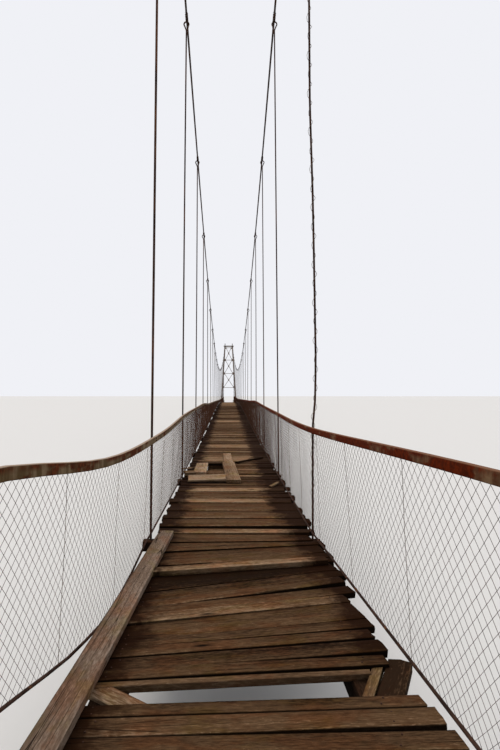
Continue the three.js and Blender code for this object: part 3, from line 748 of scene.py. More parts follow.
def dressed_copy(name, node, material, bevel):
    """A copy of a solid, with its points merged and each flat side as one face."""
    shape = bmesh.new()
    shape.from_mesh(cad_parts[node].data)
    bmesh.ops.remove_doubles(shape, verts=shape.verts, dist=1e-6)
    bmesh.ops.dissolve_limit(shape, angle_limit=math.radians(1), verts=shape.verts, edges=shape.edges)
    bmesh.ops.recalc_face_normals(shape, faces=shape.faces)
    return shape_piece(name, shape, material, bevel)


# Cast faces: how fine they are cut up and how far apart their bumps are, in metres of the model, and the
# level of the bumps that stays in place. It is high, so nearly all else goes inwards.
CAST_GRID, CAST_WAVE, CAST_LEVEL = 0.02, 0.03, 0.95
cast_waves = bpy.data.textures.new("uneven_casting", "CLOUDS")
cast_waves.noise_scale = CAST_WAVE


def cast_block(name, node, bevel, uneven):
    """A concrete copy of a solid, its faces cut into a grid and pushed in a little, here and there."""
    piece = dressed_copy(name, node, CONCRETE, bevel)
    shape = bmesh.new()
    shape.from_mesh(piece.data)
    spots = np.array([vertex.co for vertex in shape.verts])
    low, high = Vector(spots.min(axis=0)), Vector(spots.max(axis=0))
    for axis, normal in enumerate(Matrix.Identity(3)):
        cuts = max(int((high[axis] - low[axis]) / CAST_GRID), 1)
        for cut in range(1, cuts):
            bmesh.ops.bisect_plane(shape, geom=shape.verts[:] + shape.edges[:] + shape.faces[:],
                                   plane_co=low + (high - low) * (cut / cuts), plane_no=normal)
    bmesh.ops.recalc_face_normals(shape, faces=shape.faces)
    shape.to_mesh(piece.data)
    shape.free()
    modifier = piece.modifiers.new("uneven", "DISPLACE")
    modifier.texture, modifier.strength, modifier.mid_level = cast_waves, uneven, CAST_LEVEL
    modifier.texture_coords = "LOCAL"
    return flatten(piece)


# The deck. A row says where a plank's near edge lies 0.6 m left and 0.6 m right of the middle, in metres
# from hanger 0, how far it is raised (mm), how pale it is, and where it ends. No paleness: no plank there.

NEAR_PLANKS = (
    (0.352, 0.390, 0, 0.45, -0.72, 0.92),
    (0.478, 0.535, 2, 0.64, -0.73, 0.89),
    (0.608, 0.678, 0, 0.40, -0.71, 0.86),
    (0.704, 0.780, 0, None, 0, 0),
    (0.911, 1.021, 2, 0.42, -0.74, 0.80),
    (0.993, 1.152, 0, 0.20, -0.70, 0.83),
    (1.121, 1.301, 3, 0.44, -0.72, 0.80),
    (1.233, 1.438, -2, 0.34, -0.69, 0.84),
    (1.371, 1.600, 2, 0.46, -0.73, 0.80),
    (1.503, 1.769, 15, 0.78, -0.71, 0.77),
    (1.630, 1.940, 0, 0.45, -0.72, 0.85),
    (1.760, 2.121, 3, 0.52, -0.70, 0.82),
    (1.869, 2.292, -2, 0.22, -0.73, 0.86),
    # These two planks are dark partly from dirt and partly as painted shadow under the plank raised 44 mm
    # beyond them.
    (2.023, 2.435, 0, -0.15, -0.71, 0.83),
    (2.160, 2.500, -2, -0.25, -0.70, 0.81),
    (2.309, 2.575, 44, 0.98, -0.73, 0.77),
    (2.450, 2.660, 0, 0.50, -0.69, 0.84),
    (2.583, 2.744, 3, 0.55, -0.72, 0.86),
    (2.740, 2.936, 0, 0.40, -0.71, 0.80),
    (2.905, 3.122, 16, 0.50, -0.74, 0.82),
    (3.040, 3.200, 0, 0.48, -0.70, 0.85),
    (3.185, 3.280, 14, 0.42, -0.72, 0.76),
    (3.340, 3.385, 4, 0.52, -0.71, 0.75),
    (3.500, 3.490, 25, 0.90, -0.73, 0.77),
    (3.630, 3.620, 0, 0.55, -0.70, 0.84),
    (3.745, 3.740, 0, None, 0, 0),
    (3.830, 3.830, 4, 0.62, -0.72, 0.80),
    (3.966, 3.966, 0, 0.58, -0.71, 0.86),
    (4.158, 4.158, 6, 0.66, -0.73, 0.83),
    (4.350, 4.350, 0, 0.56, -0.70, 0.80),
    (4.530, 4.530, 3, 0.70, -0.72, 0.85),
    (4.720, 4.720, 0, 0.54, -0.71, 0.82),
    (4.930, 4.935, 20, 1.05, -0.74, 0.77),
    (5.145, 5.138, 0, 0.48, -0.70, 0.84),
    (5.300, 5.300, 2, 0.62, -0.72, 0.86),
    (5.450, 5.450, 0, 0.56, -0.71, 0.80),
    (5.600, 5.585, 0, 0.52, -0.73, 0.84),
    (5.700, 5.735, 10, 1.15, -0.71, 0.77),
    (5.930, 5.960, 0, None, 0, 0),
)
# In real metres: how far apart a row's two marks are, the gap before the next plank, and the widest plank.
MARKS_APART, NEAR_GAP, NEAR_WIDEST = 1.2, 0.016, 0.13
# Where the next plank lies further on than this, a wider one fills the way, but for a gap.
FAR_SPACING, FAR_GAP = 0.175, 0.017
# Where the next plank is raised this much more (mm), a plank runs on under it by so many metres.
UNDERLAP_FROM, UNDERLAP = 12, 0.1
# From here on the planks reach further left.
LONGER_FROM, LONGER_LEFT = 3.5, 0.045
# The other planks: how far apart they are, their ends and tones, and the stretches of pale ones: from where
# to where in real metres from hanger 0, and their tone.
PLAIN_STEP = 128 * MM
PLAIN_LEFT, PLAIN_RIGHT = -0.765, 0.82
PLAIN_TONES = (0.18, 0.31, 0.41, 0.47, 0.53, 0.59, 0.67, 0.84, 1.05)
# How much they vary: in width, gap (mm), skew (degrees), raise (mm), and at the ends (real metres).
PLAIN_SHARES, PLAIN_GAPS, PLAIN_SKEW, PLAIN_RAISES = (0.9, 1.1), (9, 22), 0.9, (-9, 11)
LEFT_STRAY, RIGHT_STRAY = 0.02, 0.05
# How far any plank may be rolled over or tilted to one side, in degrees.
PLANK_ROLL, PLANK_TILT = 1.4, 0.35
PALE_STRETCHES = ((8.9, 9.3, 1.0), (11.15, 11.7, 1.15), (14.2, 14.5, 1.0), (19.4, 20.2, 1.1),
                  (22.6, 23.0, 0.9), (34.8, 36.4, 1.8), (39.2, 42.2, 2.1))
# The second hole in real metres: where it starts and stops along the bridge, and its left and right edge.
HOLE_START, HOLE_STOP, HOLE_LEFT, HOLE_RIGHT = 7.62, 8.54, -0.44, -0.12
# Where the solids of the deck, of its frame and of the handrails meet, by bay number.
BOARD_JOINTS = (-1, 5.5, 11.5, 18.5, 20.5, 22.5, 25)
FRAME_JOINTS = (-1, 5.5, 11.5, 18.5, 25)
RAIL_JOINTS = (-1, 7.5, 16.5, 25)
ROD_ROOM, ROD_ROOM_ALONG = 18 * MM, 15 * MM
NAIL_SHARE, NAIL_STRAY, NAIL_FROM_END, NAIL_LIFT = 0.28, 25, 30 * MM, 0.05 * MM * METRE
chance = random.Random(7)


def part_at(joints, bay):
    return next(i for i, joint in enumerate(joints[1:]) if bay < joint)


def lengths(joints):
    """The lengths between joints, numbered from 1."""
    return enumerate(zip(joints, joints[1:]), 1)


def plain_rows(at, stop):
    """Planks without a place of their own: middle y, width, skew, raised, tone, left end and right end."""
    count = round((stop - at) / PLAIN_STEP)
    shares = [chance.uniform(*PLAIN_SHARES) for _ in range(count)]
    whole = stop - at
    rows = []
    for share in shares:
        wide = share / sum(shares) * whole
        y = at + wide / 2
        at += wide
        away = (y - START_Y) / METRE
        tone = next((tone for start, end, tone in PALE_STRETCHES if start < away < end), None)
        if tone is None:
            tone = chance.choice(PLAIN_TONES)
        rows.append((y, wide - chance.uniform(*PLAIN_GAPS) * MM,
                     math.radians(chance.uniform(-PLAIN_SKEW, PLAIN_SKEW)),
                     chance.uniform(*PLAIN_RAISES) * MM, tone,
                     (PLAIN_LEFT + chance.uniform(-LEFT_STRAY, LEFT_STRAY)) * METRE,
                     (PLAIN_RIGHT + chance.uniform(-RIGHT_STRAY, RIGHT_STRAY)) * METRE))
    return rows


def near_rows():
    """The planks near the first tower. Each fills the way to the next but for a gap, or runs on under it."""
    rows = []
    for row, following in zip(NEAR_PLANKS, NEAR_PLANKS[1:]):
        left, right, raised, tone, from_x, to_x = row
        if tone is None:
            continue
        middle = (left + right + following[0] + following[1]) / 4
        spacing = (following[0] + following[1] - left - right) / 2
        skew = math.atan((right + following[1] - left - following[0]) / 2 / MARKS_APART)
        wide = spacing - FAR_GAP if spacing > FAR_SPACING else min(spacing - NEAR_GAP, NEAR_WIDEST)
        if following[2] - raised > UNDERLAP_FROM and following[3] is not None:
            wide = spacing + UNDERLAP
        if left > LONGER_FROM:
            from_x -= LONGER_LEFT
        rows.append((START_Y + middle * METRE, wide * METRE * math.cos(skew), skew, raised * MM, tone,
                     from_x * METRE, to_x * METRE))
    return rows


def beside_rods(y, wide, left, right):
    """A plank at a pair of hangers ends short of the rods."""
    hanger = round(bay_at(y))
    if hanger in HANGERS and abs(bay_y(hanger) - y) < wide / 2 + ROD_ROOM_ALONG:
        return max(left, ROD_ROOM - hanger_half(hanger)), min(right, hanger_half(hanger) - ROD_ROOM)
    return left, right


def board_row(left, right, y, wide, top, turn, tone):
    """A plank across the bridge between two ends, on the slope of the deck."""
    slope = math.atan((deck_top(y + MM) - deck_top(y - MM)) / (2 * MM))
    x = (left + right) / 2
    return ((x, y + x * math.tan(turn[2]), top - PLANK_THICK / 2),
            ((right - left) / math.cos(turn[2]), wide, PLANK_THICK),
            (turn[0] + slope, turn[1], turn[2]), tone)


def lay_boards(name, rows, material, **sizes):
    centres, boards, turns, tones = zip(*rows)
    keys = [chance.random() for _ in rows]
    guide = points_mesh(centres, size=boards, turn=turns, tone=tones, key=keys)
    return grow(name, BOARDS, guide, material, **sizes)


first_edge, last_edge = (START_Y + sum(row[:2]) / 2 * METRE for row in (NEAR_PLANKS[0], NEAR_PLANKS[-1]))
plank_rows = plain_rows(bay_y(NEAR_END) + GAP, first_edge)
plank_rows += near_rows()
plank_rows += plain_rows(last_edge, bay_y(FAR_END) - GAP)
plank_sets = [[] for _ in BOARD_JOINTS[1:]]
nails, nail_turns = [], []
for y, wide, skew, raised, tone, left, right in plank_rows:
    left, right = beside_rods(y, wide, left, right)
    turn = (math.radians(chance.uniform(-PLANK_ROLL, PLANK_ROLL)),
            math.radians(chance.uniform(-PLANK_TILT, PLANK_TILT)), skew)
    top = deck_top(y) + raised
    spans = [(left, right)]
    if HOLE_START < (y - START_Y) / METRE < HOLE_STOP:
        spans = [(left, (HOLE_LEFT + chance.uniform(-0.05, 0.02)) * METRE),
                 ((HOLE_RIGHT + chance.uniform(-0.02, 0.05)) * METRE, right)]
    for from_x, to_x in spans:
        plank_sets[part_at(BOARD_JOINTS, bay_at(y))].append(
            board_row(from_x, to_x, y, wide, top, turn, tone))
    for x in STRINGER_XS:
        for step in (-NAIL_SHARE, NAIL_SHARE):
            nail_x = x + chance.uniform(-NAIL_STRAY, NAIL_STRAY) * MM
            if left + NAIL_FROM_END < nail_x < right - NAIL_FROM_END:
                nails.append((nail_x, y + step * wide + nail_x * math.tan(skew), top + NAIL_LIFT))
                nail_turns.append((0, 0, chance.uniform(0, 1)))

for number, rows in enumerate(plank_sets, 1):
    near = number == 1
    planks = lay_boards(f"planks_{number}", rows, PLANK_WOOD, Segments=15 if near else 7,
                        Cuts=2 if near else 1, Ragged=0.0032, Warp=0.0007)
    keep(planks, "deck_boards", f"deck_boards_{number}")
keep(studs("nail_heads", nails, nail_turns, 4.5 * MM, 4 * MM), "deck_boards")


def loose_row(x, away, size, turn, tone, lift):
    """A loose board. x and away, from hanger 0, are real metres, size and lift too. turn is pitch, roll
    and heading in degrees, where heading 90 lies along the bridge."""
    y = START_Y + away * METRE
    pitch, roll, heading = (math.radians(a) for a in turn)
    z = deck_top(y) + (lift + size[2] / 2) * METRE
    return (x * METRE, y, z), tuple(s * METRE for s in size), (roll, -pitch, heading), tone


loose_rows = [
    loose_row(-0.52, 7.65, (1.2, 0.215, 0.045), (0, 0, 90.5), 1.16, 0.008),
    loose_row(-0.36, 6.43, (0.58, 0.21, 0.028), (1.5, 14, 2.5), 1.1, 0.06),
    loose_row(0.0025, 7.36, (2.1, 0.225, 0.045), (0.3, 0, 92.3), 0.87, 0.009),
    loose_row(-0.05, 8.95, (1.5, 0.17, 0.04), (0.5, 0, 91.5), 1.0, 0.008),
    loose_row(-0.665, 6.85, (0.17, 0.15, 0.06), (0, 3, 15), 0.6, 0.045),
    loose_row(-0.72, 7.75, (0.34, 0.03, 0.02), (0, 0, 40), 1.0, 0.012),
    loose_row(0.65, 6.14, (0.4, 0.045, 0.025), (0, 0, 68), 0.7, 0.006),
    # A dark board on edge under the second hole: painted shade that hides the pale floor below the hole.
    loose_row(-0.28, 8.55, (0.31, 0.17, 0.03), (0, 84, 0.5), -0.1, -0.135),
    loose_row(-0.25, 8.02, (0.27, 0.2, 0.03), (0, -8, 12), 0.75, -0.075),
    # A dark stick across the planks: a painted shadow that stands for the dark line under a lifted plank
    # edge.
    loose_row(0.395, 8.78, (0.96, 0.045, 0.03), (0, 0, 55.6), -0.4, 0.012),
    loose_row(-0.555, 0.785, (0.4, 0.1, 0.03), (0, 4, -36), 0.8, -0.05),
    loose_row(0.7, 0.97, (0.4, 0.05, 0.05), (0, 0, 65), 0.7, -0.07),
    loose_row(0.79, 0.93, (0.45, 0.12, 0.05), (0, -3, 65), -0.15, -0.07),
    loose_row(0.0, 0.945, (1.36, 0.03, 0.045), (0, 12, 5.0), 0.55, -0.054),
]
loose = lay_boards("loose_boards", loose_rows, LOOSE_WOOD, Segments=24, Cuts=3, Ragged=0.009, Warp=0.0012)
keep(loose, "deck_boards")

KERB_TONE = 0.77
kerb_end = bay_y(KERB_END_BAY)
kerb_middle = (KERB_END_X - math.sin(KERB_SKEW) * KERB_LONG / 2,
               kerb_end - math.cos(KERB_SKEW) * KERB_LONG / 2,
               deck_top(kerb_end) + 2 * GAP + KERB_THICK / 2)
kerb_row = (kerb_middle, (KERB_LONG, KERB_WIDE, KERB_THICK), (0, 0, math.pi / 2 - KERB_SKEW), KERB_TONE)
kerb = lay_boards("kerb_plank", [kerb_row], KERB_WOOD, Segments=90, Cuts=5, Corner=0.1, Ragged=0.003,
                  Warp=0.0011)
keep(kerb, "kerb_board", "kerb_board")

# Crossbeams, and stringers between them in two lengths to a bay, which follow the camber.
frame_sets = [[] for _ in FRAME_JOINTS[1:]]
for hanger in HANGERS:
    y = bay_y(hanger)
    half = CROSSBEAM_HALF + (END_CROSSBEAM_EXTRA if hanger in (HANGERS[0], HANGERS[-1]) else 0)
    frame_sets[part_at(FRAME_JOINTS, hanger)].append(
        ((0, y, crossbeam_top(y) - CROSSBEAM_TALL / 2), (2 * half, CROSSBEAM_TALL, CROSSBEAM_TALL), LEVEL,
         chance.uniform(0.2, 0.7)))
for bay in range(NEAR_END, FAR_END):
    for x in STRINGER_XS:
        for start, stop in ((bay, bay + 0.5), (bay + 0.5, bay + 1)):
            low, high = bay_y(start), bay_y(stop)
            low += CROSSBEAM_TALL / 2 + MM if start == bay and bay >= 0 else 0
            high -= CROSSBEAM_TALL / 2 + MM if stop == bay + 1 and stop < FAR_END else 0
            low, high = max(low, bay_y(NEAR_END) + GAP), min(high, bay_y(FAR_END) - GAP)
            slope = math.atan2(deck_top(high) - deck_top(low), high - low)
            middle = (low + high) / 2
            top = (deck_top(low) + deck_top(high)) / 2 - PLANK_THICK - GAP
            size = ((high - low) / math.cos(slope), STRINGER_WIDE, STRINGER_TALL)
            frame_sets[part_at(FRAME_JOINTS, bay_at(middle))].append(
                ((x, middle, top - STRINGER_TALL / 2), size, (0, -slope, math.pi / 2),
                 chance.uniform(0.1, 0.6)))
for number, rows in enumerate(frame_sets, 1):
    timbers = lay_boards(f"frame_timbers_{number}", rows, FRAME_WOOD, Segments=12, Cuts=1, Ragged=0.0015,
                         Warp=0.0006)
    keep(timbers, "deck_frame", f"deck_frame_{number}")


# Hangers, their eyes and wraps, and the lower bars

EYE_RADIUS, EYE_OUT, EYE_DOWN = 40 * MM, 12 * MM, 12 * MM
EYE_NECK, TAIL_OUT = 100 * MM, 1.8 * HANGER_RADIUS
THREAD_BELOW_WASHER = 42 * MM
# The points of a rod below its straight stretch, and on it.
FOOT_STEPS, ROD_STEPS = 3, 36
# Rust and dirt make the rods thicker than their solids. They sway by so many mm.
ROD_CRUST, ROD_SWAY = {-1: 2 * MM, 1: 0.5 * MM}, 4
# How far the rod of hanger 1 on the right is bent outwards, by its height, in real metres.
BENT_ROD = ((0.6, 0.0), (1.7, 0.012), (2.0, 0.042), (2.4, 0.05), (3.2, 0.046), (4.0, 0.04), (4.9, 0.022),
            (5.9, 0.027), (7.4, 0.012), (9.0, 0.0))


def rod_line(hanger, side):
    """A hanger from its threaded end up to the kink, along to the neck and round the eye, with its tail
    laid beside the rod. Worked out in x and z, and then set at the hanger's y."""
    y = bay_y(hanger)
    foot = hanger_half(hanger)
    bottom = crossbeam_top(y) - CROSSBEAM_TALL - GAP - WASHER_THICK - THREAD_BELOW_WASHER
    ring = np.array([cable_half(y) + EYE_OUT, cable_z(y) - EYE_DOWN])
    kink = np.array([foot, kink_z(y)])
    neck = ring + (kink - ring) / np.linalg.norm(kink - ring) * EYE_NECK
    points = [(foot, bottom), (foot, kink[1] - 25 * MM), (foot, kink[1] - 6 * MM)]
    straight = [kink + (neck - kink) * share for share in np.linspace(0.015, 1, ROD_STEPS)]
    if side > 0 and hanger == 1:
        points += [p + (read_off(BENT_ROD, p[1] / METRE), 0) for p in straight]
    else:
        sway = chance.uniform(-ROD_SWAY, ROD_SWAY) * MM
        points += [p + (sway * math.sin(math.pi * i / (ROD_STEPS - 1)), 0) for i, p in enumerate(straight)]
    down = math.atan2(*(neck - ring)[::-1])
    points += [ring + EYE_RADIUS * np.array([math.cos(a), math.sin(a)])
               for a in np.linspace(down + math.radians(50), down + math.radians(310), 21)]
    aside = np.array([-math.sin(down), math.cos(down)]) * TAIL_OUT
    points += [neck - aside - (neck - ring) * 0.1, neck - aside + (neck - ring) * 0.5]
    return np.array([(side * x, y, z) for x, z in points])


WRAP_TURNS, WRAP_STEPS = 5.5, 9
WRAP_START, WRAP_LONG, WRAP_RADIUS, WRAP_WIRE = 25 * MM, 165 * MM, 20 * MM, 6 * MM


def wrap_line(hanger, side):
    """Tight turns of thick wire round the cable, on the uphill side of the eye."""
    y = bay_y(hanger)
    uphill = -1 if hanger <= MIDDLE_HANGER else 1
    points = []
    for step in range(int(WRAP_TURNS * WRAP_STEPS) + 1):
        angle = 2 * math.pi * step / WRAP_STEPS
        at = y + uphill * (WRAP_START + WRAP_LONG * step / (WRAP_TURNS * WRAP_STEPS))
        points.append((side * cable_half(at) + WRAP_RADIUS * math.cos(angle), at,
                       cable_z(at) + WRAP_RADIUS * math.sin(angle)))
    return np.array(points)


for hand, side in SIDES:
    for number, (start, stop) in lengths(FRAME_JOINTS):
        lines = [rod_line(h, side) for h in HANGERS if start < h < stop]
        thick = [np.full(len(line), HANGER_RADIUS + ROD_CRUST[side]) for line in lines]
        lines.append(np.array([lower_bar_point(bay, side) for bay in stretch(start, stop, 12)]))
        thick.append(np.full(len(lines[-1]), LOWER_BAR_RADIUS))
        rods = wires(f"hanger_rods_{hand}_{number}", lines, ROD_RUST, thick, 10)
        keep(rods, "hangers", f"hangers_{hand}_{number}")
    wraps = [wrap_line(h, side) for h in HANGERS]
    keep(wires(f"cable_wraps_{hand}", wraps, ROD_RUST, WRAP_WIRE, 6), "hangers")
    washers, nuts = [], []
    for h in HANGERS:
        y = bay_y(h)
        x, z = side * hanger_half(h), crossbeam_top(y) - CROSSBEAM_TALL - GAP - WASHER_THICK / 2
        washers.append(((x, y, z), (WASHER, WASHER, WASHER_THICK), LEVEL))
        nuts.append((x, y, z - WASHER_THICK / 2 - 8 * MM))
    keep(block_set(f"hanger_washers_{hand}", washers, ROD_RUST, 2 * MM), "hangers")
    nut_turns = [(0, 0, 0.2 * h) for h in HANGERS]
    keep(studs(f"hanger_nuts_{hand}", nuts, nut_turns, 17 * MM, 16 * MM), "hangers")

# Thin wire that somebody wound round the bent rod, tight here and standing off in loops there.
COIL_TURNS, COIL_STEPS, COIL_FROM, COIL_TO = 38, 8, 0.02, 0.93
COIL_TIGHT, COIL_LOOSER, COIL_WAVE = 12 * MM, 13 * MM, 0.21
bent = rod_line(1, 1)[FOOT_STEPS:FOOT_STEPS + ROD_STEPS - 1]
coil = []
for i, share in enumerate(np.linspace(COIL_FROM, COIL_TO, COIL_TURNS * COIL_STEPS + 1)):
    spot = [np.interp(share * (len(bent) - 1), range(len(bent)), bent[:, axis]) for axis in range(3)]
    angle = 2 * math.pi * i / COIL_STEPS
    off = COIL_TIGHT + COIL_LOOSER * abs(math.sin(COIL_WAVE * i))
    coil.append(spot + off * np.array([math.cos(angle), math.sin(angle), 0]))
keep(grow("rod_winding", WIRES, lines_mesh([np.array(coil)], thick=2.2 * MM), TIE_WIRE, Sides=5), "hangers")

# Handrails in three lengths a side. At each hanger two U-bolts hold the rail to the rod. A U-bolt's
# bend is given outwards from the rail's middle and along the bridge.
CLIP_UP, CLIP_HALF = 12 * MM, 15 * MM
CLIP_REACH = RAIL_WIDE / 2 + 2 * HANGER_RADIUS + 7 * MM
CLIP_END = -RAIL_WIDE / 2 - 5 * MM
CLIP_BEND = ((CLIP_END, -CLIP_HALF), (CLIP_REACH - 9 * MM, -CLIP_HALF), (CLIP_REACH - 2 * MM, -11 * MM),
             (CLIP_REACH, 0), (CLIP_REACH - 2 * MM, 11 * MM), (CLIP_REACH - 9 * MM, CLIP_HALF),
             (CLIP_END, CLIP_HALF))
# Rust has swollen the edges of the bars beyond their rolled height, more so on the left.
RAIL_CRUST = {-1: 8 * MM, 1: 3 * MM}
for hand, side in SIDES:
    for number, (start, stop) in lengths(RAIL_JOINTS):
        line = np.array([rail_point(bay, side) for bay in stretch(start, stop, 10)])
        rail = grow(f"rail_{hand}_{number}", BARS, lines_mesh([line]), RAIL_PAINTS[side], Width=RAIL_WIDE,
                    Height=RAIL_TALL + RAIL_CRUST[side], Corner=7 * MM)
        keep(shade_round(rail), f"handrail_{hand}", f"handrail_{hand}_{number}")
    clips, nuts = [], []
    for h in HANGERS:
        x, y, z = rail_point(h, side)
        for up in (-CLIP_UP, CLIP_UP):
            clips.append(np.array([(x + side * out, y + along, z + up) for out, along in CLIP_BEND]))
            nuts += [(x - side * (RAIL_WIDE / 2 + 2 * MM), y + along, z + up)
                     for along in (-CLIP_HALF, CLIP_HALF)]
    keep(wires(f"rail_clips_{hand}", clips, ROD_RUST, 3.5 * MM, 6), f"handrail_{hand}")
    sideways = [(0, math.pi / 2, 0)] * len(nuts)
    keep(studs(f"rail_nuts_{hand}", nuts, sideways, 7 * MM, 6 * MM), f"handrail_{hand}")

# Main cables, thicker than their solids by the crust on them
CABLE_CRUST = 2.5 * MM
for hand, side in SIDES:
    cable = wires(f"cable_{hand}", [cable_route(side)], ROPE, CABLE_RADIUS + CABLE_CRUST, 14)
    keep(cable, "main_cable", f"main_cable_{hand}")


# Netting between the lower bar and the handrail: wires on both slants, and thicker upright ones

NET_STEP, NET_LEAN, NET_FROM_TOWER = 70.7 * MM, METRE, 20 * MM
UPRIGHT_STEP, UPRIGHT_START, UPRIGHT_LEAN = 1.05 * METRE, 0.3 * METRE, 40
FINE_NET_UNTIL = bay_y(2.2)
# The wires' radius (mm) by bay number: swollen with rust from hanger 2 on.
NET_RADIUS = ((0.8, 1.05), (2.5, 1.9))


def net_place(y, share, side):
    """A point of the net, share of the way up from the lower bar to the handrail."""
    low, high = lower_bar_point(bay_at(y), side), rail_point(bay_at(y), side)
    high[2] -= RAIL_TALL / 2
    return low + (high - low) * share


for hand, side in SIDES:
    slants, uprights = [], []
    first, last = bay_y(NEAR_END) + NET_FROM_TOWER, bay_y(FAR_END) - NET_FROM_TOWER
    for y in np.arange(first - METRE, last + METRE, NET_STEP):
        for lean in (-1, 1):
            shares = np.linspace(0, 1, 9 if y < FINE_NET_UNTIL else 4)
            line = [(y + lean * (share - 0.5) * NET_LEAN, share) for share in shares]
            line = [(at, share) for at, share in line if first <= at <= last]
            if len(line) > 1:
                slants.append(np.array([net_place(at, share, side) for at, share in line]))
    for y in np.arange(first + UPRIGHT_START, last, UPRIGHT_STEP):
        shift = chance.uniform(-UPRIGHT_LEAN, UPRIGHT_LEAN) * MM
        uprights.append(np.array([net_place(y + shift * share, share, side)
                                  for share in np.linspace(0, 1, 7)]))
    for label, lines, finish, stout in (("netting", slants, NET_RUST, 1),
                                        ("net_uprights", uprights, TIE_WIRE, 1.5)):
        free = [np.array([0.3] + [1] * (len(line) - 2) + [0.3]) for line in lines]
        thick = [np.interp(bay_at(line[:, 1]), *zip(*NET_RADIUS)) * MM * stout for line in lines]
        net = grow(f"{label}_{hand}", WIRES, lines_mesh(lines, thick=thick, free=free), finish, Sides=3,
                   Wander=0.0022, Wander_spread=14.0, Seed=side * 2.5)
        keep(net, "hangers")


# Towers. Each is two leaning pipes, cross bracing, an H-beam on top and two saddles.

FOOT_Z = FOOTING_TALL + GAP
BOLT_RING, CAP_SHARE = 0.235 * METRE, 0.68
RIB, RIB_OUT = (90 * MM, 14 * MM, 120 * MM), 36 * MM
SEAM_LEVELS, SEAM_HALF, SEAM_PROUD = (4.5 * METRE, 7.2 * METRE), 6 * MM, 4 * MM
LEG_STEPS = 9
BAND_HALF, BAND_PROUD, BAND_ABOVE_BAR = 25 * MM, 5 * MM, 60 * MM
SADDLE_BOLT_ANGLE, SADDLE_BOLT_OUT = 0.42, 42 * MM
FLANGE, WEB, STIFFENER = 18 * MM, 12 * MM, 12 * MM
STIFFENER_XS = (-0.8, -0.62, -0.5, -0.25, 0, 0.25, 0.5, 0.62, 0.8)
GUSSET_WIDE, GUSSET_THICK, MIDDLE_GUSSET_TALL, SIDE_GUSSET_TALL = 220 * MM, 12 * MM, 300 * MM, 260 * MM
BEARING_PLATE, PLATE_MIDDLE = (500 * MM, 500 * MM, 24 * MM), 14 * MM
# A rope socket's radius (mm) by its distance from the bearing plate (real metres).
SOCKET_SHAPE = ((0.026, 52), (0.076, 55), (0.146, 48), (0.366, 30), (0.406, 22), (0.426, 16))
# Rope clips: where they are from the plate (real metres), and their bend, over the rope and beside it.
ROPE_CLIPS_AT = (0.62, 0.8, 0.98)
ROPE_CLIP_BEND = ((1.9, -1), (0, -1), (-0.75, -0.7), (-1.05, 0), (-0.75, 0.7), (0, 1), (1.9, 1))
ROPE_CLIP_OVER, ROPE_CLIP_BESIDE = 20 * MM, 19 * MM
ROPE_CLIP_SHOE = (56 * MM, 26 * MM, 16 * MM)


def on_leg(side, y, *heights):
    """Points on the middle line of a tower leg."""
    return np.array([(side * leg_half(z), y, z) for z in heights])


def outwards(angle):
    return Vector((math.cos(angle), math.sin(angle), 0))


def inside_leg(side, z):
    return side * (leg_half(z) - LEG_RADIUS - BRACE_INSET), z


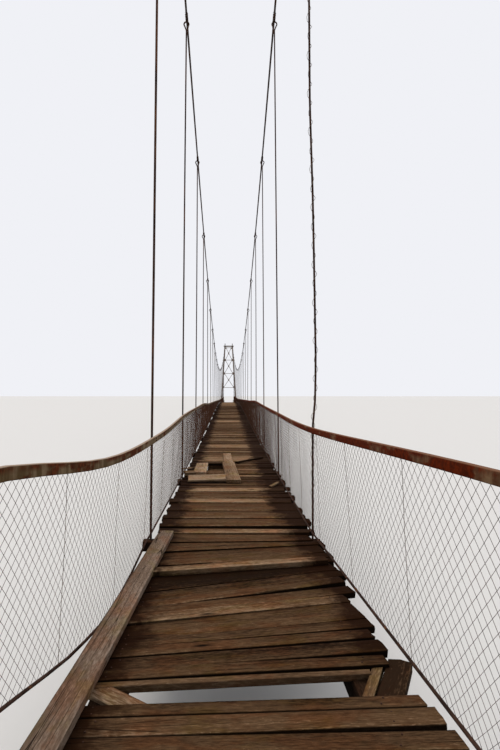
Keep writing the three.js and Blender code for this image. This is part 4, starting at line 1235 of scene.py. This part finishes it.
for end_name, end in ENDS:
    y = end * TOWER_Y
    plates, bolts = [], []
    for hand, side in SIDES:
        # The pipe, and the weld seams round it.
        lines = [on_leg(side, y, *np.linspace(FOOT_Z + PLATE / 2, LEG_TOP_Z - PLATE / 2, LEG_STEPS))]
        for z in (FOOT_Z + PLATE + 5 * MM, *SEAM_LEVELS, LEG_TOP_Z - PLATE - 5 * MM):
            lines.append(on_leg(side, y, z - SEAM_HALF, z + SEAM_HALF))
        thick = [np.full(LEG_STEPS, LEG_RADIUS)] + [np.full(2, LEG_RADIUS + SEAM_PROUD)] * 4
        leg = wires(f"{end_name}_leg_{hand}", lines, TOWER_PAINT, thick, 36)
        keep(leg, "tower_steel", f"{end_name}_tower_leg_{hand}")
        foot_x, cap_x = side * leg_half(FOOT_Z), side * leg_half(LEG_TOP_Z)
        plates.append(((foot_x, y, FOOT_Z + PLATE / 2), (LEG_PLATE, LEG_PLATE, PLATE), LEVEL))
        plates.append(((cap_x, y, LEG_TOP_Z - PLATE / 2), (LEG_CAP, LEG_CAP, PLATE), LEVEL))
        for quarter in range(4):
            angle = quarter * math.pi / 2
            rib_middle = Vector((foot_x, y, FOOT_Z + PLATE + RIB[2] / 2))
            plates.append((rib_middle + outwards(angle) * (LEG_RADIUS + RIB_OUT), RIB, (0, 0, angle)))
            corner = outwards(angle + math.pi / 4) * BOLT_RING
            bolts.append(Vector((foot_x, y, FOOT_Z + PLATE + 12 * MM)) + corner)
            bolts.append(Vector((cap_x, y, LEG_TOP_Z - PLATE - 9 * MM)) + corner * CAP_SHARE)
        footing = cast_block(f"{end_name}_foot_{hand}", f"{end_name}_footing_{hand}", 18 * MM, 7 * MM)
        keep(footing, "concrete", f"{end_name}_footing_{hand}")
        saddle = dressed_copy(f"{end_name}_rope_saddle_{hand}", f"{end_name}_saddle_{hand}", TOWER_PAINT,
                              3 * MM)
        keep(saddle, "tower_steel", f"{end_name}_saddle_{hand}")
        for angle in (-SADDLE_BOLT_ANGLE, SADDLE_BOLT_ANGLE):
            at, z = SADDLE_RADIUS * math.sin(angle), SADDLE_Z + (SADDLE_RADIUS - 2 * MM) * math.cos(angle)
            bolts += [Vector((side * CABLE_HALF_TOWER + out, y + at, z))
                      for out in (-SADDLE_BOLT_OUT, SADDLE_BOLT_OUT)]
    # The H-beam: two flanges, a web, and stiffeners over the legs and between.
    mid = TOP_BEAM_Z + TOP_BEAM_SIDE / 2
    inside, deep = TOP_BEAM_SIDE - 2 * FLANGE, (TOP_BEAM_SIDE - WEB) / 2 - 3 * MM
    beam = [((0, y, mid + up * (TOP_BEAM_SIDE - FLANGE) / 2), (TOP_BEAM_LONG, TOP_BEAM_SIDE, FLANGE), LEVEL)
            for up in (-1, 1)]
    beam.append(((0, y, mid), (TOP_BEAM_LONG, WEB, inside), LEVEL))
    beam += [((x * METRE, y + out * (WEB + deep) / 2, mid), (STIFFENER, deep, inside), LEVEL)
             for x in STIFFENER_XS for out in (-1, 1)]
    top_beam = block_set(f"{end_name}_top_beam", beam, TOWER_PAINT, 1.5 * MM)
    keep(top_beam, "tower_steel", f"{end_name}_tower_top_beam")

    # Level braces, and crossed ones between them, which meet in gusset plates.
    braces = [[(side * (leg_half(z) - 0.5 * LEG_RADIUS), z) for _, side in SIDES] for z in BRACE_LEVELS]
    for low, high in zip(BRACE_LEVELS, BRACE_LEVELS[1:]):
        braces += [[inside_leg(-1, low), inside_leg(1, high)], [inside_leg(1, low), inside_leg(-1, high)]]
        cross = leg_half(low) / (leg_half(low) + leg_half(high))
        plates.append(((0, y, low + (high - low) * cross), (GUSSET_WIDE, GUSSET_THICK, MIDDLE_GUSSET_TALL),
                       LEVEL))
        for z, up in ((low, 1), (high, -1)):
            for _, side in SIDES:
                plates.append(((side * (leg_half(z) - LEG_RADIUS - 90 * MM), y, z + up * 60 * MM),
                               (GUSSET_WIDE, GUSSET_THICK, SIDE_GUSSET_TALL), LEVEL))
    lines = [np.array([(x, y, z) for x, z in brace]) for brace in braces]
    bracing = wires(f"{end_name}_bracing", lines, TOWER_PAINT, BRACE_RADIUS, 18)
    keep(bracing, "tower_steel", f"{end_name}_tower_bracing")
    keep(block_set(f"{end_name}_tower_plates", plates, TOWER_PAINT, 2 * MM), "tower_steel")
    bolt_turns = [(0, 0, 0.1 * i) for i in range(len(bolts))]
    keep(studs(f"{end_name}_tower_bolts", bolts, bolt_turns, 18 * MM, 24 * MM), "tower_steel")

    # Band clamps that hold the ends of the handrails and lower bars to the legs.
    bay = NEAR_END if end < 0 else FAR_END
    bands = [on_leg(side, y, z - BAND_HALF, z + BAND_HALF) for _, side in SIDES
             for z in (rail_point(bay, side)[2], lower_bar_point(bay, side)[2] + BAND_ABOVE_BAR)]
    keep(wires(f"{end_name}_band_clamps", bands, ROD_RUST, LEG_RADIUS + BAND_PROUD, 36), "tower_steel")

    # Anchor blocks, with a bearing plate, a socket on the cable's end and three clips on it.
    shoes, sockets, clips = [], [], []
    for hand, side in SIDES:
        block = cast_block(f"{end_name}_anchor_block_{hand}", f"{end_name}_anchor_{hand}", 22 * MM, 9 * MM)
        keep(block, "concrete", f"{end_name}_anchor_{hand}")
        far_y, far_z = anchor_point()
        saddle_y, saddle_z = on_saddle(BACKSTAY_ANGLE)
        foot = Vector((side * ANCHOR_HALF, end * far_y, far_z))
        along = (Vector((side * CABLE_HALF_TOWER, end * saddle_y, saddle_z)) - foot).normalized()
        across = along.cross(Vector((1, 0, 0))).normalized()
        tilt = end * (math.pi / 2 - BACKSTAY_ANGLE)
        shoes.append((foot + along * PLATE_MIDDLE, BEARING_PLATE, (tilt, 0, 0)))
        sockets.append(np.array([foot + along * reach * METRE for reach, _ in SOCKET_SHAPE]))
        for reach in ROPE_CLIPS_AT:
            centre = foot + along * reach * METRE
            clips.append(np.array([centre + across * over * ROPE_CLIP_OVER
                                   + Vector((beside * ROPE_CLIP_BESIDE, 0, 0))
                                   for over, beside in ROPE_CLIP_BEND]))
            shoes.append((centre + across * ROPE_CLIP_OVER, ROPE_CLIP_SHOE,
                          across.to_track_quat("Z", "X").to_euler()))
    keep(block_set(f"{end_name}_anchor_plates", shoes, TOWER_PAINT, 2 * MM), "tower_steel")
    thick = [np.array([size * MM for _, size in SOCKET_SHAPE])] * len(sockets)
    keep(wires(f"{end_name}_rope_sockets", sockets, TOWER_PAINT, thick, 24), "tower_steel")
    keep(wires(f"{end_name}_rope_clips", clips, ROD_RUST, 6 * MM, 8), "main_cable")
    ramp = cast_block(f"{end_name}_ramp", f"{end_name}_abutment", 20 * MM, 6 * MM)
    keep(ramp, "concrete", f"{end_name}_abutment")

# Floor, light and camera

bpy.ops.mesh.primitive_plane_add(size=160)
floor = bpy.context.object
floor.name = "studio_floor"
floor.data.materials.append(floor_paper())

world = bpy.data.worlds.new("soft_studio")
scene.world = world
world.use_nodes = True
backdrop = world.node_tree.nodes["Background"].inputs
backdrop["Color"].default_value = linear("#f0f1f6")
backdrop["Strength"].default_value = 1.0
lamp = bpy.data.lights.new("soft_sun", "SUN")
lamp.energy, lamp.angle = 1.0, math.radians(28)
lamp.color = linear("#fff8ef")[:3]
sun = new_piece("soft_sun", lamp)
sun.rotation_euler = (math.radians(-28), math.radians(-20), 0)
scene.view_settings.view_transform = "Standard"

lens = bpy.data.cameras.new("camera")
lens.lens, lens.sensor_width, lens.clip_start, lens.clip_end = 24.99, 36, 0.01, 400
lens.shift_x, lens.shift_y = 0.02867, 0.02667
camera = new_piece("camera", lens)
camera.location = (-0.0032, -4.3645, 0.202)
camera.rotation_euler = (math.pi / 2, 0, 0)
scene.camera = camera
